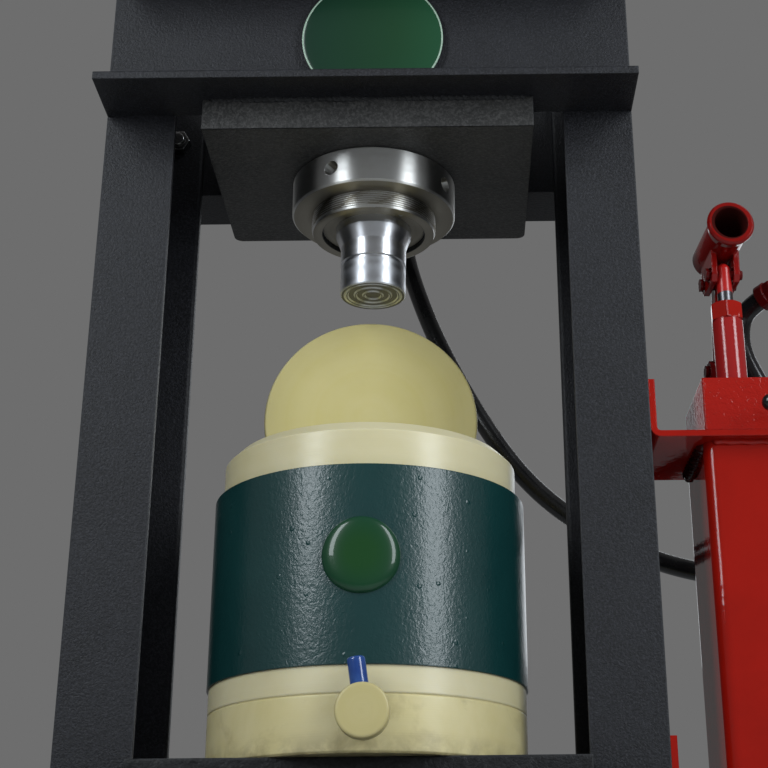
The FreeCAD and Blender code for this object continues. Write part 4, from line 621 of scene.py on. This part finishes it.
def moulded(name, low, high, rough, bump, size, **sockets):
    """A smooth material whose colour and roughness drift between two values in clouds of the given size."""
    tree, shader, point = finish(name, low, rough[0], **sockets)
    cloud = use(tree, mottle, {"Point": point, "Size": size, "From": 0.35, "To": 0.7})["Mask"]
    fine_height = use(tree, pebble, {"Point": point, "Size": size * 0.08})["Height"]
    edge = use(tree, edges, {"Radius": 0.0010})
    tree.links.new(tint(tree, cloud, low, high), shader["Base Color"])
    tree.links.new(between(tree, cloud, *rough), shader["Roughness"])
    tree.links.new(relief(tree, fine_height, bump, edge["Normal"]), shader["Normal"])


moulded("hose_rubber", (0.011, 0.011, 0.012), (0.018, 0.018, 0.018), (0.20, 0.32), 0.00003, 0.03)
moulded("seal_rubber", (0.012, 0.012, 0.012), (0.018, 0.018, 0.018), (0.45, 0.6), 0.00004, 0.02)
moulded("black_plastic", (0.008, 0.008, 0.009), (0.012, 0.012, 0.013), (0.12, 0.2), 0.00002, 0.02)
moulded("blue_plastic", (0.010, 0.040, 0.190), (0.030, 0.090, 0.300), (0.10, 0.18), 0.00003, 0.02, Coat_Weight=0.5)
print(len(FINISHES), "finishes")

# %% [markdown]
# ## Green resin emblems
# Two round emblems are on the press, one on the crossbeam and one on the sleeve. Each is a printed disc
# under clear domed resin. They are left plain here: a deep green that turns a little colder towards the
# rim, under a clear coat. The crossbeam's emblem has painted shade on the side away from the lamp.

# %% Emblem resin


def resin(name, centre, radius, inner, rim, coat, left=None):
    """Green that changes from the middle to the rim; left is a painted shade, the colour of the side away from the
    lamp.
    """
    tree, shader, point = finish(name, inner, 0.3, Coat_Weight=coat, Coat_Roughness=0.03, Specular_IOR_Level=0.2)
    local = wire(tree, "Mapping", {"Vector": point, "Location": tuple(-v for v in centre)}).outputs[0]
    flat = wire(tree, "VectorMath", {0: local, 1: (1, 0, 1)}, operation="MULTIPLY").outputs[0]
    distance = wire(tree, "VectorMath", {0: flat}, operation="LENGTH").outputs["Value"]
    share = wire(tree, "MapRange", {"Value": distance, "From Min": radius * 0.35, "From Max": radius}).outputs[0]
    cloud = use(tree, mottle, {"Point": point, "Size": 0.03, "From": 0.3, "To": 0.8})["Mask"]
    mixed_mask = math_node(tree, "MULTIPLY_ADD", cloud, 0.15)
    tree.links.new(share, mixed_mask.node.inputs[2])
    shade = tint(tree, mixed_mask, inner, rim)
    # The side away from the lamp is painted darker: painted shade.
    if left is not None:
        across = wire(tree, "SeparateXYZ", {"Vector": local}).outputs["X"]
        painted_shade_share = wire(tree, "MapRange", {"Value": across, "From Min": -radius,
                                             "From Max": radius * 0.8}).outputs[0]
        shade = tint(tree, painted_shade_share, left, shade)
    tree.links.new(shade, shader["Base Color"])


def disc_size(node):
    """Centre and radius of an upright disc that faces forwards."""
    low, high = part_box(node)
    return (low + high) / 2, (high.x - low.x) / 2


EMBLEM_CENTRE, EMBLEM_RADIUS = disc_size("crossbeam_emblem")
BADGE_CENTRE, BADGE_RADIUS = disc_size("sleeve_badge")
resin("badge_green", BADGE_CENTRE, BADGE_RADIUS, (0.009, 0.054, 0.012), (0.007, 0.048, 0.021), 0.5)
resin("emblem_green", EMBLEM_CENTRE, EMBLEM_RADIUS, (0.014, 0.056, 0.022), (0.015, 0.066, 0.030), 0.2,
      (0.008, 0.030, 0.018))
moulded("emblem_rim", (0.30, 0.42, 0.32), (0.36, 0.48, 0.38), (0.2, 0.3), 0.00001, 0.02)
print("emblem at", [round(v, 4) for v in EMBLEM_CENTRE], "badge at", [round(v, 4) for v in BADGE_CENTRE])

# %% [markdown]
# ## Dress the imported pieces
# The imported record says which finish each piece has. Most pieces take the material of that name, and a few
# take a closer one: the pump's block is paler than its tank, and each cream piece has its own lathe axis.

# %% Dress the pieces
CLOSER = {"ram_plate": "plate_paint", "bed_plate": "bed_paint", "saddle": "saddle_steel",
          "oil_tray": "cream_tray", "pressing_disc": "cream_disc", "drain_plug": "cream_knob",
          "pump_block": "block_red", "pump_cylinder": "gloss_red", "pump_link": "lever_red",
          "handle_socket": "socket_red", "block_lug": "fitting_steel", "plunger_pin": "fitting_steel",
          "link_pin": "fitting_steel", "lug_pin": "fitting_steel", "hose_end_fitting": "fitting_steel",
          "outlet_riser": "pump_red", "suction_tube": "plain_steel"}
for part in frame["record"]["subparts"]:
    chosen = CLOSER.get(part["node"], part["material_slot"])
    for slot in nodes[part["node"]].material_slots:
        slot.material = FINISHES[chosen]
line.materials.append(FINISHES["hose_rubber"])

# %% [markdown]
# ## Surfaces from arrays
# Every new piece is a grid of points: rows run along it and columns run round it. `surface` joins the grid
# into faces, closes its seams and poles, turns the faces outwards and marks the sharp edges. `turned` spins
# a profile about an axis, and `soften` rounds a profile's corners, because no real edge is a sharp line.

# %% Surface helpers


def surface(name, points, body, finish_name, sharp=38.0):
    """Mesh over a grid: face (i, j) joins the points (i, j), (i, j+1), (i+1, j+1) and (i+1, j)."""
    rows, columns = points.shape[:2]
    index = np.arange(rows * columns).reshape(rows, columns)
    index = np.hstack([index, index[:, :1]])
    faces = np.stack([index[:-1, :-1], index[:-1, 1:], index[1:, 1:], index[1:, :-1]], -1).reshape(-1, 4)
    mesh = bpy.data.meshes.new(name)
    mesh.from_pydata(points.reshape(-1, 3).tolist(), [], faces.tolist())
    shape = bmesh.new()
    shape.from_mesh(mesh)
    bmesh.ops.remove_doubles(shape, verts=shape.verts, dist=2e-6)
    bmesh.ops.recalc_face_normals(shape, faces=shape.faces)
    shape.to_mesh(mesh)
    shape.free()
    mesh.polygons.foreach_set("use_smooth", np.ones(len(mesh.polygons), bool))
    mesh.set_sharp_from_angle(angle=math.radians(sharp))
    mesh.materials.append(FINISHES[finish_name])
    piece = bpy.data.objects.new(name, mesh)
    bpy.context.scene.collection.objects.link(piece)
    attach(piece, body)
    print(name, len(mesh.polygons), "faces")
    return piece


def soften(corners, radius, steps=5):
    """Round each inner corner of an open profile with a quadratic arc that starts one radius before it.

    With P the corner and A, B the points one radius away along its two sides, the arc at share t is
    (1-t)(1-t) A + 2 t (1-t) P + t t B."""
    corners = np.asarray(corners, float)
    share = np.linspace(0, 1, steps)[:, None]
    parts = [corners[:1]]
    for before, corner, after in zip(corners, corners[1:], corners[2:]):
        back, ahead = before - corner, after - corner
        back_reach = min(radius, 0.45 * np.linalg.norm(back)) / np.linalg.norm(back)
        ahead_reach = min(radius, 0.45 * np.linalg.norm(ahead)) / np.linalg.norm(ahead)
        first, last = corner + back * back_reach, corner + ahead * ahead_reach
        parts.append((1 - share) ** 2 * first + 2 * share * (1 - share) * corner + share ** 2 * last)
    parts.append(corners[-1:])
    return np.vstack(parts)


def spun(profile, origin, axis, start, turns=144):
    """Points of a turned piece: origin + axis * height + radius * (start * cos a + side * sin a)."""
    axis, start = np.asarray(axis, float), np.asarray(start, float)
    across = np.cross(axis, start)
    angle = np.linspace(0, math.tau, turns, endpoint=False)[None, :, None]
    radius, height = profile[:, 0][:, None, None], profile[:, 1][:, None, None]
    return np.asarray(origin, float) + axis * height + radius * (start * np.cos(angle) + across * np.sin(angle))


print("surface helpers ready")

# %% [markdown]
# ## The cylinder's thread
# Below the ring nut a little of the cylinder's fine thread shows. A thread is a cylinder whose radius rises
# and falls along the axis, with the pattern shifted by one pitch for each turn, so one formula makes it.

# %% Neck thread
nut_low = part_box("ring_nut")[0].z
neck_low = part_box("cylinder_tube")[0].z
NECK_RADIUS = 0.053
SEAT_RADIUS = 0.0453
SKIN = 0.0001
THREAD_IN_NUT = 0.004
THREAD_PITCH = 0.0020
THREAD_DEPTH = 0.0014


def thread_points(low, high, radius, pitch, depth, turns=160):
    """radius + depth * |2 f - 1| with f the fraction of (height / pitch - angle / one turn)."""
    height = np.linspace(low, high, int((high - low) / pitch * 10))[:, None]
    angle = np.linspace(0, math.tau, turns, endpoint=False)[None, :]
    phase = (height / pitch - angle / math.tau) % 1.0
    fade = np.clip((height - low) / (1.5 * pitch), 0, 1)
    reach = radius + depth * np.abs(2 * phase - 1) * fade
    points = np.stack([reach * np.cos(angle), reach * np.sin(angle), height + 0 * angle], -1)
    inward = np.array((SEAT_RADIUS / radius, SEAT_RADIUS / radius, 1))
    return np.concatenate([points[:1] * inward, points, points[-1:] * inward])


thread = thread_points(neck_low - SKIN, nut_low + THREAD_IN_NUT, NECK_RADIUS + SKIN, THREAD_PITCH, THREAD_DEPTH)
surface("neck_thread", thread, "frame", "turned_steel", sharp=80)

# %% [markdown]
# ## Weld beads
# The ram plate is welded to the crossbeam and the tank to its bracket. A hand-laid bead is a half-buried
# round bar whose surface is a row of overlapping scales, each left as the pool of steel froze. The scales
# are a sawtooth along the bead, bent backwards at its sides, and the bead wanders a little.

# %% Weld beads


def weld(name, start, end, radius, pitch, body, finish_name, seed):
    """Bar of radius r (1 + 0.3 (1 - f)^2), f the fraction of distance / pitch + 0.45 cos(angle), ends closed."""
    start, end = np.asarray(start, float), np.asarray(end, float)
    length = np.linalg.norm(end - start)
    along = (end - start) / length
    across = np.cross(along, (0, 0, 1.0))
    up = np.cross(across, along)
    rng = np.random.default_rng(seed)
    distance = np.linspace(0, length, int(length / pitch * 9))[:, None]
    angle = np.linspace(0, math.tau, 28, endpoint=False)[None, :]
    wave = sum(rng.uniform(0.3, 1.0) * np.sin(distance / (radius * rng.uniform(2, 9)) + rng.uniform(0, 6))
               for _ in range(5))
    phase = (distance / pitch + 0.06 * wave + 0.45 * np.cos(angle)) % 1.0
    taper = np.sqrt(np.clip(np.minimum(distance, length - distance) / radius, 0, 1))
    reach = radius * taper * (0.88 + 0.07 * wave / 2 + 0.30 * (1 - phase) ** 2)
    drift = 0.12 * radius * wave
    points = (start + along * distance[..., None] + across * (reach * np.cos(angle) + drift)[..., None]
              + up * (reach * np.sin(angle))[..., None])
    return surface(name, points, body, finish_name, sharp=60)


plate_low, plate_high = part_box("ram_plate")
weld("ram_plate_weld", (plate_low.x + 0.004, plate_low.y + 0.001, plate_high.z),
     (plate_high.x - 0.004, plate_low.y + 0.001, plate_high.z), 0.0036, 0.0060, "frame", "bed_paint", 3)
tank_low, tank_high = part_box("oil_tank")
seam = tank_high.z - 0.001
weld("tank_side_weld", (tank_low.x, tank_low.y + 0.008, seam), (tank_low.x, tank_high.y - 0.008, seam),
     0.0056, 0.0075, "frame", "weld_red", 5)
weld("tank_front_weld", (tank_low.x + 0.006, tank_low.y, seam), (tank_high.x - 0.006, tank_low.y, seam),
     0.0026, 0.0140, "frame", "pump_red", 8)

# %% [markdown]
# ## Flame-cut edges
# The ram plate and the bed plate were cut from thick steel with a torch, and the paint doesn't hide it: the
# flame leaves upright drag lines and pits. Each cut face is a thin slab laid on the plate's front, and its
# outer points move in and out by a sum of waves whose phases come from a seeded generator.

# %% Cut faces


def cut_face(name, low, high, depth, seed, finish_name="frame_paint"):
    """Slab whose front is y = front - depth * (lines + lumps); lines vary along x, lumps over x and z."""
    rng = np.random.default_rng(seed)
    across, rows = 420, 30
    x = np.linspace(low.x, high.x, across)[:, None]
    z = np.linspace(low.z, high.z, rows)[None, :]
    lines = sum(rng.uniform(0.4, 1.0) * np.sin(x * rng.uniform(400, 1500) + 10 * z * rng.uniform(-1, 1)
                                              + rng.uniform(0, 6)) for _ in range(7)) / 7
    lumps = sum(rng.uniform(0.4, 1.0) * np.sin(x * rng.uniform(90, 620) + rng.uniform(0, 6))
                * np.sin(z * rng.uniform(160, 620) + rng.uniform(0, 6)) for _ in range(16)) / 10
    edge = np.clip(np.minimum(z - low.z, high.z - z) / 0.0015, 0, 1)
    out = depth * (0.45 * lines + 1.4 * lumps + 0.8) * edge
    front = np.stack([x + 0 * z, low.y - out, z + 0 * x], -1)
    back = front[:, ::-1] * (1, 0, 1) + (0, low.y + 0.001, 0)
    loop = np.concatenate([front, back], 1)
    ends = [loop[:1] * 0 + loop[:1].mean(1, keepdims=True), loop[-1:] * 0 + loop[-1:].mean(1, keepdims=True)]
    return surface(name, np.concatenate([ends[0], loop, ends[1]]), "frame", finish_name, sharp=70)


cut_face("ram_plate_cut_face", plate_low, plate_high, 0.00045, 11, "plate_paint")
bed_low, bed_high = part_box("bed_plate")
cut_face("bed_plate_cut_face", bed_low, bed_high, 0.0005, 12, "bed_paint")

# %% [markdown]
# ## The emblems
# The crossbeam's emblem is a flat disc with a pale rolled rim and a shallow resin dome. The sleeve's badge
# is smaller and bends with the sleeve: its grid is first a domed disc, and then each point moves back by
# the depth of the sleeve's curve at its place.

# %% Emblems
PAD_RADIUS = 0.040
RIM_WIDTH = 0.0014
RIM_STANDS = 0.0006
PLATE_THICK = 0.0015
EMBLEM_DOME = 0.0013
FORWARD, RIGHT = (0, -1, 0), (1, 0, 0)
web_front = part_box("crossbeam_emblem")[1].y
emblem_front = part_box("crossbeam_emblem")[0].y
deep = web_front - emblem_front
face_radius = EMBLEM_RADIUS - RIM_WIDTH
emblem_origin = (EMBLEM_CENTRE.x, web_front, EMBLEM_CENTRE.z)
rim_profile = soften([(0, 0), (PAD_RADIUS, 0), (PAD_RADIUS, deep - PLATE_THICK), (EMBLEM_RADIUS, deep - PLATE_THICK),
                      (EMBLEM_RADIUS, deep + RIM_STANDS), (face_radius, deep + RIM_STANDS), (face_radius, deep),
                      (0, deep)], 0.0004)
emblem_base = surface("emblem_base", spun(rim_profile, emblem_origin, FORWARD, RIGHT), "frame",
                      "emblem_rim")
share = np.linspace(0, 1, 24)
dome = np.stack([face_radius * np.sin(share * math.pi / 2),
                 deep + 0.0002 + EMBLEM_DOME * np.cos(share * math.pi / 2) ** 0.7], -1)
dome = np.vstack([dome, dome[-1:] - (0, 0.0004), (0, deep - 0.0002)])
surface("emblem_dome", spun(dome, emblem_origin, FORWARD, RIGHT), "frame", "emblem_green")
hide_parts("crossbeam_emblem")

BADGE_DOME = 0.0052
sleeve_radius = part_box("steel_sleeve")[1].x
share = np.linspace(0, 1, 30)
badge_profile = np.stack([BADGE_RADIUS * share, BADGE_DOME * (1 - share ** 5) ** 0.5], -1)
badge_profile = np.vstack([badge_profile, (BADGE_RADIUS, -0.0006), (0, -0.0006)])
badge = spun(badge_profile, (BADGE_CENTRE.x, -sleeve_radius, BADGE_CENTRE.z), FORWARD, RIGHT)
badge[..., 1] += sleeve_radius - np.sqrt(sleeve_radius ** 2 - badge[..., 0] ** 2)
badge_piece = surface("badge_dome", badge, "vessel", "badge_green")
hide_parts("sleeve_badge")

# %% [markdown]
# ## The drain tap
# The tap's knob is a turned plastic button on a shank, and its lever is a blue moulded rod with a hub. Both
# are turned shapes, so a softened profile and one spin make each of them. The lever's rod leans a little to
# the left, and only its axis changes for that.

# %% Drain tap
knob_low, knob_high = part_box("drain_plug")
tap_x, tap_z = (knob_low.x + knob_high.x) / 2, (knob_low.z + knob_high.z) / 2
HEAD_RADIUS = 0.0188
HEAD_DEEP = 0.015
SHANK_RADIUS = 0.009
BACKWARD = (0, 1, 0)
knob_deep = knob_high.y - knob_low.y
knob_profile = soften([(0, 0), (HEAD_RADIUS, 0), (HEAD_RADIUS, HEAD_DEEP), (SHANK_RADIUS, HEAD_DEEP),
                       (SHANK_RADIUS, knob_deep), (0, knob_deep)], 0.0024)
knob = surface("tap_knob", spun(knob_profile, (tap_x, knob_low.y, tap_z), BACKWARD, RIGHT), "drain_tap",
               "cream_knob")
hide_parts("drain_plug")

lever_low, lever_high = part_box("drain_lever")
LEAN = math.radians(8.8)
ROD_RADIUS = 0.0065
ROD_START = 0.010
ROD_LENGTH = 0.040
rod_axis = np.array([-math.sin(LEAN), 0, math.cos(LEAN)])
rod_profile = soften([(0, ROD_START), (ROD_RADIUS * 1.08, ROD_START), (ROD_RADIUS, ROD_LENGTH * 0.6),
                      (ROD_RADIUS, ROD_LENGTH), (0, ROD_LENGTH)], 0.0022)
lever_middle = (lever_low.y + lever_high.y) / 2
rod = surface("tap_lever_rod", spun(rod_profile, (tap_x, lever_middle, tap_z), rod_axis, BACKWARD, 64), "drain_tap",
              "blue_plastic")
HUB_RADIUS = 0.015
bore = SHANK_RADIUS + 0.0002
hub_deep = lever_high.y - lever_low.y
hub_profile = soften([(bore, 0.004), (bore, 0), (HUB_RADIUS, 0), (HUB_RADIUS, hub_deep), (bore, hub_deep),
                      (bore, 0.004)], 0.0015)
surface("tap_lever_hub", spun(hub_profile, (tap_x, lever_low.y, tap_z), BACKWARD, RIGHT, 96), "drain_tap",
        "blue_plastic")
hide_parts("drain_lever")

# %% [markdown]
# ## The floor
# The press stands on a plain pale floor, which isn't part of the object. The camera
# looks up and doesn't see it, but the views from the sides do, with the press's shadow on it.

# %% Floor
FLOOR_HALF = 6.0
floor_mesh = bpy.data.meshes.new("floor")
corners = [(-FLOOR_HALF, -FLOOR_HALF, 0), (FLOOR_HALF, -FLOOR_HALF, 0), (FLOOR_HALF, FLOOR_HALF, 0),
           (-FLOOR_HALF, FLOOR_HALF, 0)]
floor_mesh.from_pydata(corners, [], [(0, 1, 2, 3)])
floor = bpy.data.objects.new("floor", floor_mesh)
bpy.context.scene.collection.objects.link(floor)
tree, shader, point = finish("floor", (0.42, 0.42, 0.42), 0.6)
floor_cloud = use(tree, mottle, {"Point": point, "Size": 0.8, "From": 0.3, "To": 0.8})["Mask"]
tree.links.new(tint(tree, floor_cloud, (0.56, 0.56, 0.56), (0.60, 0.60, 0.60)), shader["Base Color"])
floor_mesh.materials.append(FINISHES["floor"])
print("floor", FLOOR_HALF * 2, "m wide")
